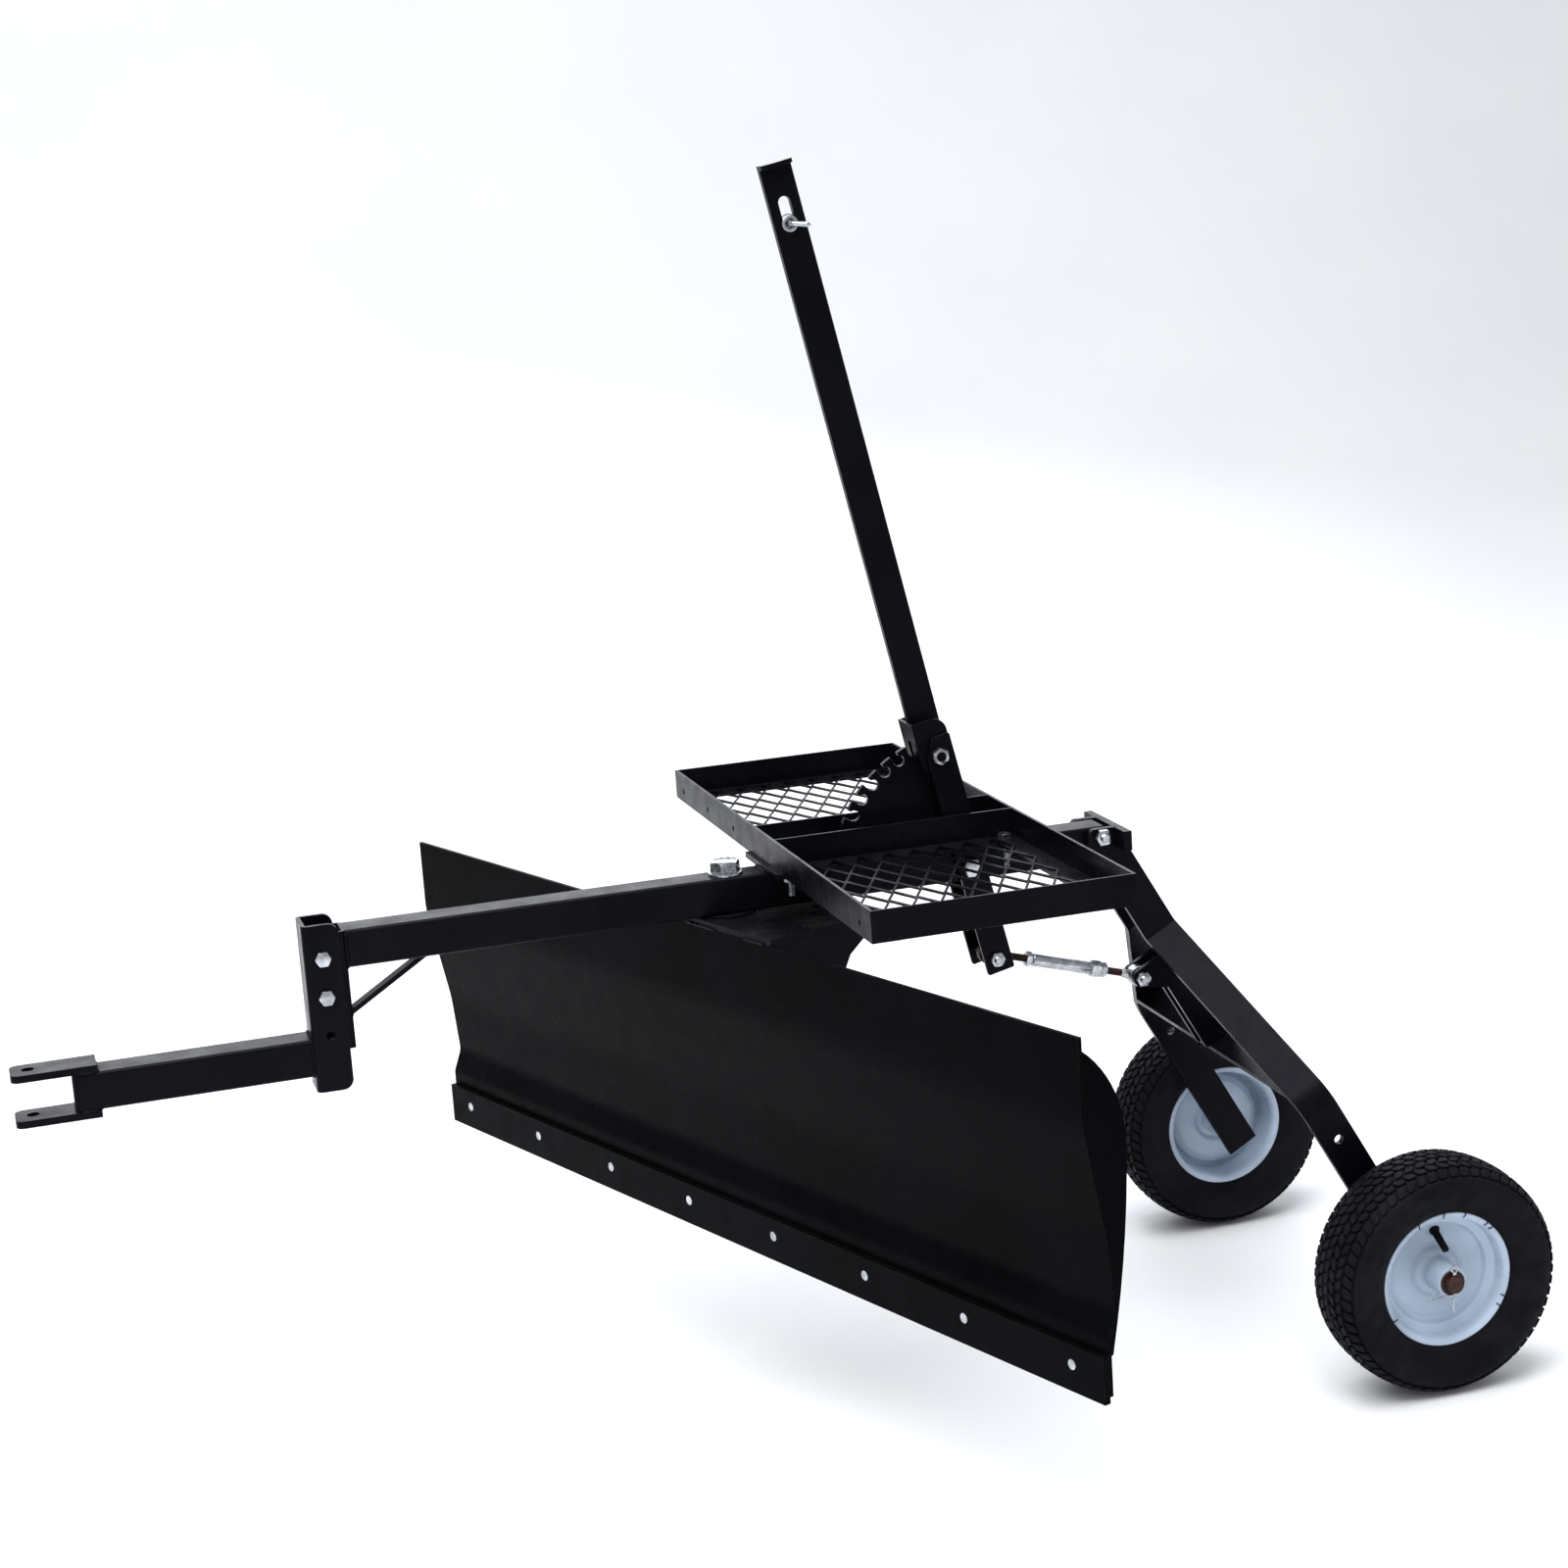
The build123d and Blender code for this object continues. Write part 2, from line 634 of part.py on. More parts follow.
def handle_pivot():
    """Two short bolts, one through each lever plate and the latch bracket's flange beside it.

    Neither reaches the middle, so the sector's teeth pass between them.
    """
    ring = 2.0
    thin_nut = 6.0
    face = LEVER_INSIDE + LEVER_PLATE
    inside = LATCH_HALF - LATCH_WALL - 0.3
    x, z = along_lever(LEVER_UP)
    body = bolt(6.0, face + ring - inside + thin_nut + 1.5, 19.0, 7.5)
    parts = both_sides(pointing_left(body, x, face + ring, z))
    parts += both_sides(pointing_right(nut(6.0, 19.0, thin_nut), x, inside, z))
    parts += both_sides(pointing_left(washer(6.0, 12.0, ring), x, face, z))
    return parts


def link_front_bolt():
    """Bolt through the lever plates and the link's front eye, with spacer tubes."""
    face = LEVER_INSIDE + LEVER_PLATE
    x, z = along_lever(-LEVER_DOWN)
    parts = swapped(cross_bolt(6.0, 19.0, 7.5, x, z, face, -face, 5.0))
    spacer = washer(6.0, 10.0, LEVER_INSIDE - EYE_HALF - 0.3)
    for ring in both_sides(pointing_left(spacer, x, EYE_HALF + 0.3, z)):
        parts.append(ring)
    return parts


def on_handle(part):
    """Places a piece drawn about the handle bolt, with the handle upright, at its tilt."""
    x, z = along_lever(LEVER_UP)
    return Pos(x, 0, z) * Rot(0, HANDLE_TILT, 0) * part


def handle_bar():
    """Long flat bar with a keyhole slot near the top and its end folded over."""
    half = HANDLE_WIDTH / 2
    slot_r = 8.5
    hole_r = KEYHOLE_R
    hole_z = KEYHOLE_Z
    slot_z = HANDLE_TOP - 54.0
    with BuildSketch() as outline:
        with Locations((0, (HANDLE_BOTTOM + HANDLE_TOP) / 2)):
            Rectangle(HANDLE_WIDTH, HANDLE_TOP - HANDLE_BOTTOM)
        with Locations((0, hole_z)):
            Circle(hole_r, mode=Mode.SUBTRACT)
        with Locations((0, slot_z)):
            Circle(slot_r, mode=Mode.SUBTRACT)
        with Locations((0, (hole_z + slot_z) / 2)):
            Rectangle(2 * slot_r, slot_z - hole_z, mode=Mode.SUBTRACT)
    bar = side_plate(outline.sketch, -HANDLE_THICK / 2, HANDLE_THICK / 2)
    tab = 26.0
    tab_thick = 6.0
    fold = block(-half, half, -HANDLE_THICK / 2, tab - HANDLE_THICK / 2,
                 HANDLE_TOP - tab_thick, HANDLE_TOP)
    bar += fillet(fold.edges().filter_by(Axis.Z).group_by(Axis.Y)[-1], 7)
    return on_handle(bar)


LATCH_WALL = 4.0
LATCH_HALF = LEVER_INSIDE - 0.5


def latch_bracket():
    """Channel around the handle's foot. Its web clears the sector's notches in the middle and
    hangs down as a tongue on both sides of the sector."""
    front = HANDLE_WIDTH / 2 + LATCH_WALL
    top = 51.0
    web_low = 24.0
    tongue_low = -12.0
    tongue_inside = SECTOR_THICK / 2 + 2.0
    with BuildSketch() as flange:
        with BuildLine():
            Polyline((front, top), (front, -12), (front - 6, -18), (front - 14, -12), (10, 2),
                     (6, -18), (-18, -18), (-HANDLE_WIDTH / 2, 0), (-HANDLE_WIDTH / 2, top - 20))
            CenterArc((-HANDLE_WIDTH / 2 + 20, top - 20), 20, 90, 90)
            Line((-HANDLE_WIDTH / 2 + 20, top), (front, top))
        make_face()
        Circle(6.05, mode=Mode.SUBTRACT)
    parts = side_plate(flange.sketch, LATCH_HALF - LATCH_WALL, LATCH_HALF)
    parts += side_plate(flange.sketch, -LATCH_HALF, LATCH_WALL - LATCH_HALF)
    parts += block(front - LATCH_WALL, front, -LATCH_HALF, LATCH_HALF, web_low, top)
    for tongue in both_sides(block(front - LATCH_WALL, front, tongue_inside, LATCH_HALF,
                                   tongue_low, web_low)):
        parts += tongue
    return on_handle(parts)


def handle_pin():
    """Loose pin in the handle's keyhole: a keeper disc behind, a collar in the hole and an arm."""
    back = -HANDLE_THICK / 2
    shank_r = 4.2
    knee = HANDLE_THICK / 2 + 4.0
    reach = 30.0
    lean = 50.0
    collar = pointing_left(washer(8.4, KEYHOLE_R - 0.6, HANDLE_THICK + 0.5), 0, back, KEYHOLE_Z)
    keeper = round_y(KEYHOLE_R + 0.8, 0, KEYHOLE_Z, back - 3.0, back)
    shank = round_y(shank_r, 0, KEYHOLE_Z, back, knee)
    elbow = Pos(0, knee, KEYHOLE_Z)
    arm = elbow * Rot(0, 0, lean) * Rot(-90, 0, 0)
    bar = arm * Cylinder(shank_r, reach, align=CENTRED)
    point = arm * Pos(0, 0, reach) * Cone(shank_r + 1.0, 1.5, 7.0, align=CENTRED)
    return on_handle(keeper + collar + shank + elbow * Sphere(shank_r) + bar + point)


# ---------------------------------------------------------------- link with a turnbuckle

EYE_HALF = 8.0
EYE_R = 15.0
LINK_ROD_R = 5.5
FRONT_X, FRONT_Z = along_lever(-LEVER_DOWN)
LINK_LENGTH = hypot(LINK_REAR_X - FRONT_X, LINK_REAR_Z - FRONT_Z)
LINK_TILT = degrees(atan2(FRONT_Z - LINK_REAR_Z, FRONT_X - LINK_REAR_X))
BODY_START = 66.0
BODY_END = 174.0
BODY_R = 9.5
BODY_HEX = 16.0
ROD_INSIDE = 24.0
JAM_NUT = 9.0
OPEN_HOLE_R = 9.5


def on_link(part):
    """Places a piece drawn along +X from the front eye on the link's real line."""
    return Pos(FRONT_X, 0, FRONT_Z) * Rot(0, 180 - LINK_TILT, 0) * part


def along_link(radius, start, end):
    """Round bar along the link."""
    return Pos(start, 0, 0) * Rot(0, 90, 0) * Cylinder(radius, end - start, align=CENTRED)


def eye_rod(eye_x, rod_start, rod_end, hole_r):
    """Threaded rod with a flat eye at one end."""
    eye = round_y(EYE_R, eye_x, 0, -EYE_HALF, EYE_HALF)
    rod = along_link(LINK_ROD_R, rod_start, rod_end)
    return on_link(eye + rod - round_y(hole_r, eye_x, 0, -EYE_HALF, EYE_HALF))


def turnbuckle_front_eye():
    return eye_rod(0, EYE_R - 4, BODY_START + ROD_INSIDE, 6.05)


def turnbuckle_rear_eye():
    return eye_rod(LINK_LENGTH, BODY_END - ROD_INSIDE, LINK_LENGTH - EYE_R + 4, OPEN_HOLE_R)


def turnbuckle_body():
    """Round sleeve with a hexagon at its rear end, that draws the two rods together."""
    sleeve = along_link(BODY_R, BODY_START, BODY_END - BODY_HEX)
    sleeve = chamfer(sleeve.edges().sort_by(Axis.X)[0], 2.0)
    sleeve += Pos(BODY_END - BODY_HEX, 0, 0) * Rot(0, 90, 0) * hex_head(21.0, BODY_HEX)
    bore = along_link(LINK_ROD_R, BODY_START, BODY_START + ROD_INSIDE)
    bore += along_link(LINK_ROD_R, BODY_END - ROD_INSIDE, BODY_END)
    return on_link(sleeve - bore)


def jam_nuts():
    """Lock nuts on the rods at both ends of the sleeve."""
    blank = nut(LINK_ROD_R, 19.0, JAM_NUT)
    places = (BODY_START - JAM_NUT, BODY_END)
    return [on_link(Pos(x0, 0, 0) * Rot(0, 90, 0) * blank) for x0 in places]


# ---------------------------------------------------------------- wheel carriage

ARM_TILT = degrees(atan2(CARRIAGE_X - AXLE_X, CARRIAGE_Z - AXLE_Z))
ARM_REACH = hypot(CARRIAGE_X - AXLE_X, CARRIAGE_Z - AXLE_Z)


def on_carriage(part):
    """Places a piece drawn hanging straight down from the carriage bolt at its real lean."""
    return Pos(CARRIAGE_X, 0, CARRIAGE_Z) * Rot(0, ARM_TILT, 0) * part


def in_carriage(x, z):
    """A point of the frame as seen along the leaning carriage: (forward, down)."""
    dx = x - CARRIAGE_X
    dz = z - CARRIAGE_Z
    lean = radians(ARM_TILT)
    return dx * cos(lean) - dz * sin(lean), -(dx * sin(lean) + dz * cos(lean))


CLEVIS_FORWARD, CLEVIS_DOWN = in_carriage(LINK_REAR_X, LINK_REAR_Z)


def wheel_arm():
    """Left arm: flat bar that runs down the beam, splays out and drops to the spindle."""
    end = ARM_REACH + ARM_END
    top = ARM_TOP_Y + ARM_THICK / 2
    low = ARM_LOW_Y + ARM_THICK / 2
    points = [(top, 20), (top, -ARM_BEND_TOP), (low, -ARM_BEND_LOW), (low, -end)]
    strip = bent_strip(points, (8, 55), ARM_THICK)
    half = ARM_WIDTH / 2
    bar = Plane.YZ * extrude(strip, half, both=True)
    shoulder = 8.0
    side = block(-half, half, 0, ARM_LOW_Y + ARM_THICK, -end, -shoulder)
    side += round_y(half, 0, -shoulder, 0, ARM_LOW_Y + ARM_THICK)
    bar = bar & side
    bar -= round_y(6.05, 0, 0, 0, ARM_TOP_Y + ARM_THICK)
    bar -= round_y(ARM_HOLE_R, 0, -ARM_HOLE_DOWN, ARM_LOW_Y - ARM_THICK, ARM_LOW_Y + ARM_THICK)
    bar -= round_y(SPINDLE_R, 0, -ARM_REACH, ARM_LOW_Y, ARM_LOW_Y + ARM_THICK)
    return bar


def wheel_arms():
    """Both arms, trimmed level with the top of the beam."""
    reach = ARM_WIDTH
    waste = block(CARRIAGE_X - reach, CARRIAGE_X + reach, -reach, reach, BEAM_TOP, BEAM_TOP + reach)
    return [on_carriage(part) - waste for part in both_sides(wheel_arm())]


def arm_cross_bar():
    """Flat bar between the elbows of the arms."""
    half = ARM_LOW_Y - ARM_THICK / 2
    flat = block(-ARM_WIDTH / 2, ARM_WIDTH / 2, -half, half, -CROSS_AT - 5.0, -CROSS_AT + 5.0)
    for arm in both_sides(wheel_arm()):
        flat -= arm
    return on_carriage(max(flat.solids(), key=lambda solid: solid.volume))


def yoke_bar():
    """Flat bar that joins the tops of the arms behind the beam's end and sticks out past them."""
    front = CARRIAGE_X - 19.0
    half = 73.0
    bar = block(front - 12.0, front, -half, half, BEAM_TOP - 28.0, BEAM_TOP)
    for arm in wheel_arms():
        bar -= arm
    return max(bar.solids(), key=lambda solid: solid.volume)


def clevis_lugs():
    """Two upright lugs on the cross bar that carry the link's rear bolt."""
    nose = 13.0
    front = ARM_WIDTH / 2 + 5.0
    with BuildSketch() as outline:
        Polygon((front - 45, -CROSS_AT + 5), (front, -CROSS_AT + 5), (front, -CLEVIS_DOWN - 36),
                (CLEVIS_FORWARD + 8, -CLEVIS_DOWN - nose + 2), (CLEVIS_FORWARD - 4, -CLEVIS_DOWN + nose),
                (4, -CLEVIS_DOWN + 12), (-5, -CLEVIS_DOWN - 20), align=None)
        with Locations((CLEVIS_FORWARD, -CLEVIS_DOWN)):
            Circle(nose)
            Circle(6.0, mode=Mode.SUBTRACT)
    lug = side_plate(outline.sketch, CLEVIS_INSIDE, CLEVIS_INSIDE + 8.0)
    return [on_carriage(part) for part in both_sides(lug)]


CLEVIS_INSIDE = 11.0


def link_rear_bolt():
    """Bolt through the lugs that the link's rear eye hangs on."""
    face = CLEVIS_INSIDE + 8.0
    return swapped(cross_bolt(6.0, 19.0, 7.5, LINK_REAR_X, LINK_REAR_Z, face, -face, 5.0))


def carriage_pivot():
    """Bolt through the beam's rear end that the arms swing on."""
    face = ARM_TOP_Y + ARM_THICK / 2 + 0.3
    parts = swapped(cross_bolt(6.0, 19.0, 7.5, CARRIAGE_X, CARRIAGE_Z, face + 2.5, -face - 2.5, 6.0))
    ring = washer(6.0, 12.0, 2.5)
    for part in both_sides(pointing_left(ring, CARRIAGE_X, face, CARRIAGE_Z)):
        parts.append(part)
    return parts


SPINDLE_END = WHEEL_Y + HUB_HALF + 12.0


def spindles():
    """Stub axles set halfway into the arm ends, cross-drilled for cotter pins."""
    rod = round_y(SPINDLE_R, AXLE_X, AXLE_Z, ARM_LOW_Y, SPINDLE_END)
    collar = round_y(SPINDLE_R + 6, AXLE_X, AXLE_Z, ARM_LOW_Y + ARM_THICK / 2,
                     WHEEL_Y - HUB_HALF - 3.0)
    rod = chamfer(rod.edges().sort_by(Axis.Y)[-1], 1.5)
    rod = rod + collar
    rod -= round_z(COTTER_R, AXLE_X, COTTER_Y, AXLE_Z - 30, AXLE_Z + 30)
    return both_sides(rod)


COTTER_R = 2.5
COTTER_Y = WHEEL_Y + HUB_HALF + 7.0


def axle_washers():
    """Flat washers on each side of both wheel hubs."""
    parts = []
    for y in (WHEEL_Y - HUB_HALF - 2.8, WHEEL_Y + HUB_HALF + 0.3):
        ring = pointing_left(washer(SPINDLE_R, AXLE_WASHER_R, 2.5), AXLE_X, y, AXLE_Z)
        parts.extend(both_sides(ring))
    return parts


def cotter_pins():
    """Split pins through the spindle ends, with an eye above and two splayed legs."""
    leg_drop = 34.0
    pin = round_z(COTTER_R, AXLE_X, COTTER_Y, AXLE_Z - SPINDLE_R - 3, AXLE_Z + SPINDLE_R + 3)
    eye = Pos(AXLE_X, COTTER_Y, AXLE_Z + SPINDLE_R + 6) * Rot(90, 0, 0) * Torus(4.5, 2.2)
    pin += eye
    for lean in (-24, 24):
        leg = Pos(AXLE_X, COTTER_Y, AXLE_Z - SPINDLE_R - 2) * Rot(0, lean, 0)
        pin += leg * Pos(0, 0, -leg_drop + 12) * Cylinder(COTTER_R * 0.8, leg_drop - 12, align=CENTRED)
    return both_sides(pin)


# ---------------------------------------------------------------- wheels

def turned(outline, y):
    """Revolves an outline drawn as (radius, along the axle) about the axle."""
    ring = revolve(outline, Axis.Y)
    return Pos(AXLE_X, y, AXLE_Z) * ring


def tyre(y):
    """Turf tyre: flat tread with round shoulders, over an air space."""
    bead = RIM_R - 7.0
    with BuildSketch() as outline:
        with BuildLine():
            Line((bead, -32), (bead, 32))
            Spline((bead, 32), (112, 51), (134, TYRE_HALF), (151, 53), (160, 42),
                   tangents=((0.3, 1), (0.75, -0.66)))
            ThreePointArc((160, 42), (TYRE_R, 0), (160, -42))
            Spline((160, -42), (151, -53), (134, -TYRE_HALF), (112, -51), (bead, -32),
                   tangents=((-0.75, -0.66), (-0.3, 1)))
        make_face()
        with Locations((124, 0)):
            RectangleRounded(56, 94, 20, mode=Mode.SUBTRACT)
    return turned(outline.sketch - rim_outline(), y)


def rim_outline():
    """Half section of the rim: flanges, barrel, stepped dish and hub tube."""
    wall = 3.0
    seat = RIM_R - 7.0
    with BuildSketch() as outline:
        Polygon((RIM_R, -38), (RIM_R, -35), (seat, -32.1), (seat, 32.1), (RIM_R, 35), (RIM_R, 38),
                (seat - 2, 36), (seat - wall, 30), (seat - wall, 12), (66, 10), (62, -2), (40, -4),
                (36, 8), (HUB_R, 10), (HUB_R, HUB_HALF), (SPINDLE_R + 0.05, HUB_HALF),
                (SPINDLE_R + 0.05, -HUB_HALF), (HUB_R, -HUB_HALF), (HUB_R, 4), (33, 4),
                (38, -8), (64, -6), (69, 6), (seat - wall, 7), (seat - wall, -30), (seat - 2, -36),
                align=None)
    return outline.sketch


def rim(y):
    """Pressed steel rim."""
    return turned(rim_outline(), y)


def valve(y):
    """Rubber valve stem on the outboard side of the rim's dish, leaning towards the hub."""
    lean = 29.0
    side = 1 if y > 0 else -1
    stem = Cylinder(5.2, 24.0, align=CENTRED) + Pos(0, 0, 24.0) * Cylinder(4.4, 14.0, align=CENTRED)
    return Pos(AXLE_X - 1.0, y + side * 0.6, AXLE_Z + 58.0) * Rot(-side * (90 + lean), 0, 0) * stem


def save(name, parts):
    """Writes one node, made of one solid or a list of separate solids, about the hitch pin."""
    to_origin = Pos(-HITCH_PIN_X, 0, -TONGUE_Z)
    solids = [to_origin * solid for solid in (parts if isinstance(parts, list) else [parts])]
    node = solids[0] if len(solids) == 1 else Compound(children=solids)
    export_step(node, os.path.join("parts", name + ".step"))


def main():
    os.makedirs("parts", exist_ok=True)
    hitch_bolts, hitch_nuts = hitch_fasteners()
    tray_bolts, tray_nuts = tray_fasteners()
    edge_bolts, edge_nuts = edge_fasteners()
    king_bolt, king_washers, king_nut = pivot_bolt()
    left_mesh, right_mesh = both_sides(floor_mesh())
    nodes = {
        "main_beam": main_beam(),
        "hitch_post": hitch_post(),
        "beam_brace": beam_brace(),
        "hitch_bracket": hitch_bracket(),
        "hitch_bolts": hitch_bolts,
        "hitch_nuts": hitch_nuts,
        "tongue_tube": tongue_tube(),
        "tongue_cap": tongue_cap(),
        "tongue_lugs": tongue_lugs(),
        "tray_cross_bars": cross_bars(),
        "tray_front_rail": tray_front_rail(),
        "tray_rear_rail": transverse_rail(TRAY_REAR, 1),
        "tray_end_rails": both_sides(lengthwise_rail(TRAY_HALF, -1)),
        "tray_inner_rails": both_sides(lengthwise_rail(TRAY_INNER, 1)),
        "left_floor_mesh": left_mesh,
        "right_floor_mesh": right_mesh,
        "tray_bolts": tray_bolts,
        "tray_nuts": tray_nuts,
        "notch_sector": notch_sector(),
        "blade_pivot_bolt": king_bolt,
        "blade_pivot_washers": king_washers,
        "blade_pivot_nut": king_nut,
        "blade_pivot_boss": pivot_boss(),
        "lever_pivot_bolt": lever_pivot(),
        "carriage_pivot_bolt": carriage_pivot(),
        "moldboard": moldboard(),
        "cutting_edge": cutting_edge(),
        "edge_bolts": edge_bolts,
        "edge_nuts": edge_nuts,
        "end_plates": end_plates(),
        "turntable_plate": turntable_plate(),
        "turntable_gussets": turntable_gussets(),
        "lever_plates": lever_plates(),
        "handle_pivot_bolt": handle_pivot(),
        "link_front_bolt": link_front_bolt(),
        "handle_bar": handle_bar(),
        "latch_bracket": latch_bracket(),
        "handle_pin": handle_pin(),
        "turnbuckle_front_eye": turnbuckle_front_eye(),
        "turnbuckle_body": turnbuckle_body(),
        "turnbuckle_rear_eye": turnbuckle_rear_eye(),
        "turnbuckle_jam_nuts": jam_nuts(),
        "wheel_arms": wheel_arms(),
        "arm_cross_bar": arm_cross_bar(),
        "yoke_bar": yoke_bar(),
        "clevis_lugs": clevis_lugs(),
        "link_rear_bolt": link_rear_bolt(),
        "spindles": spindles(),
        "axle_washers": axle_washers(),
        "cotter_pins": cotter_pins(),
        "left_tyre": tyre(WHEEL_Y),
        "left_rim": rim(WHEEL_Y),
        "left_valve": valve(WHEEL_Y),
        "right_tyre": tyre(-WHEEL_Y),
        "right_rim": mirror(rim(WHEEL_Y), about=Plane.XZ),
        "right_valve": valve(-WHEEL_Y),
    }
    for name, parts in nodes.items():
        save(name, parts)


main()
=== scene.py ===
"""Looks of the tow-behind grading blade: materials, tyres, rims, floors, threads and welds."""
import json
import math

import bmesh
import bpy
from mathutils import Matrix, Vector, noise

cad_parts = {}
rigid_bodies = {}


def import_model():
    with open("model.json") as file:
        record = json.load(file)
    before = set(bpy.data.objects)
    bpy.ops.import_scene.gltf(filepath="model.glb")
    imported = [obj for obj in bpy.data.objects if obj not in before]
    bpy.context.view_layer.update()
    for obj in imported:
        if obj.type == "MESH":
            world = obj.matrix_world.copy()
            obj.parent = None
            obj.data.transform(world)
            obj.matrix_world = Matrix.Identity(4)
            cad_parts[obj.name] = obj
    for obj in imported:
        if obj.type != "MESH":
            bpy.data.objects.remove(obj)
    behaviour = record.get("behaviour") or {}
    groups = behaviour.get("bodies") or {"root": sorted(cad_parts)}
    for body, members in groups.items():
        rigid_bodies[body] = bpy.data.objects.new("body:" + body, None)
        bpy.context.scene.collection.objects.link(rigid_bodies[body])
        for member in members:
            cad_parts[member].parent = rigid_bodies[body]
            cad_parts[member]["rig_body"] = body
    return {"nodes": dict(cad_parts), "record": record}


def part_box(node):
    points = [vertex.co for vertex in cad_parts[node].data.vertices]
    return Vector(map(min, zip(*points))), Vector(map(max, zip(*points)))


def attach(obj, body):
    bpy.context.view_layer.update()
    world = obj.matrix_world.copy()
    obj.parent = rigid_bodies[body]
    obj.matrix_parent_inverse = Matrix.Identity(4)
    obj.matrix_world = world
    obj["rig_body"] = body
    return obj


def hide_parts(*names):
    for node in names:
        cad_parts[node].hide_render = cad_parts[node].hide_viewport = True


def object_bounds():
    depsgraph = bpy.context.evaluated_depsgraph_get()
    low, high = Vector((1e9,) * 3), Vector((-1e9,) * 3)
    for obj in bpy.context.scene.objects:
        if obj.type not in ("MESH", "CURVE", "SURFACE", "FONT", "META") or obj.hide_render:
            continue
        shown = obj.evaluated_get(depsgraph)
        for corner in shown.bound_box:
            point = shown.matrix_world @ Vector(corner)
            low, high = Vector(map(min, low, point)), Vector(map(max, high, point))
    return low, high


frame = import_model()
cad_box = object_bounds()

MM = 0.001
BODY_OF = {o.name: o["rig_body"] for o in frame["nodes"].values()}
SLOT_OF = {p["node"]: p["material_slot"] for p in frame["record"]["subparts"]}
# Each node's material: the one named by its slot, but for a few that look different.
LOOK_OF = {**SLOT_OF, "axle_washers": "rod_steel", "spindles": "rod_steel",
           # The moldboard and end plates get a darker copy of the black paint, as painted shade.
           "moldboard": "shaded_blade_paint", "end_plates": "shaded_blade_paint"}
BLADE_ANGLE = math.radians(20)
PIVOT = sum(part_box("blade_pivot_bolt"), Vector()) / 2
GROUND = cad_box[0].z


# ---------------------------------------------------------------- node helpers

def feed(tree, socket, value):
    """Links an output socket, or sets a plain value."""
    if isinstance(value, bpy.types.NodeSocket):
        tree.links.new(value, socket)
    else:
        socket.default_value = value


def add(tree, kind, inputs=None, **settings):
    """New shader node with its settings and inputs given by name or number."""
    made = tree.nodes.new("ShaderNode" + kind)
    for key, value in settings.items():
        setattr(made, key, value)
    for key, value in (inputs or {}).items():
        feed(tree, made.inputs[key], value)
    return made


def grain(tree, scale, low, high, detail=3.0, start=0.35, end=0.65, stretch=None):
    """Noise with this many features a metre, spread from low to high."""
    where = add(tree, "TexCoord").outputs["Object"]
    if stretch:
        where = add(tree, "Mapping", {"Vector": where, "Scale": stretch}).outputs[0]
    source = add(tree, "TexNoise", {"Vector": where, "Scale": scale, "Detail": detail})
    spread = add(tree, "MapRange", {0: source.outputs[0], 1: start, 2: end, 3: low, 4: high})
    return spread.outputs[0]


def maths(tree, operation, a, b=0.0):
    """One arithmetic step, held between 0 and 1."""
    step = add(tree, "Math", {0: a, 1: b}, operation=operation, use_clamp=True)
    return step.outputs[0]


def blend_colour(tree, amount, first, second):
    """Mixes two colours."""
    mixed = add(tree, "Mix", data_type="RGBA")
    feed(tree, mixed.inputs[0], amount)
    feed(tree, mixed.inputs[6], first)
    feed(tree, mixed.inputs[7], second)
    return mixed.outputs[2]


def bump(tree, height, distance, under=None):
    """Surface relief from a height, in metres."""
    made = add(tree, "Bump", {"Height": height, "Distance": distance, "Strength": 1.0})
    if under:
        tree.links.new(under, made.inputs["Normal"])
    return made.outputs[0]


def edge_mask(tree, radius, sharpness):
    """1 along outside edges, 0 on the open faces, broken up by noise."""
    soft = add(tree, "Bevel", {"Radius": radius}, samples=4).outputs[0]
    true = add(tree, "NewGeometry").outputs["Normal"]
    dot = add(tree, "VectorMath", {0: soft, 1: true}, operation="DOT_PRODUCT").outputs["Value"]
    edge = maths(tree, "MULTIPLY", maths(tree, "SUBTRACT", 1.0, dot), sharpness)
    return maths(tree, "MULTIPLY", edge, grain(tree, 160, 0.0, 1.0, start=0.46, end=0.62))


def up_mask(tree):
    """1 on faces that look up, where dust settles."""
    normal = add(tree, "NewGeometry").outputs["Normal"]
    up = add(tree, "SeparateXYZ", {0: normal}).outputs["Z"]
    return maths(tree, "MULTIPLY", up, grain(tree, 22, 0.2, 1.0))


def principled(name, **inputs):
    """Empty material with a surface shader."""
    made = bpy.data.materials.new(name)
    made.use_nodes = True
    tree = made.node_tree
    tree.nodes.clear()
    surface = add(tree, "BsdfPrincipled")
    out = add(tree, "OutputMaterial")
    tree.links.new(surface.outputs[0], out.inputs[0])
    for key, value in inputs.items():
        surface.inputs[key.replace("_", " ")].default_value = value
    return made, tree, surface


# ---------------------------------------------------------------- materials

DUST_COLOUR = (0.22, 0.21, 0.20, 1)
COOL_GLEAM = (0.86, 0.86, 1.0, 1)


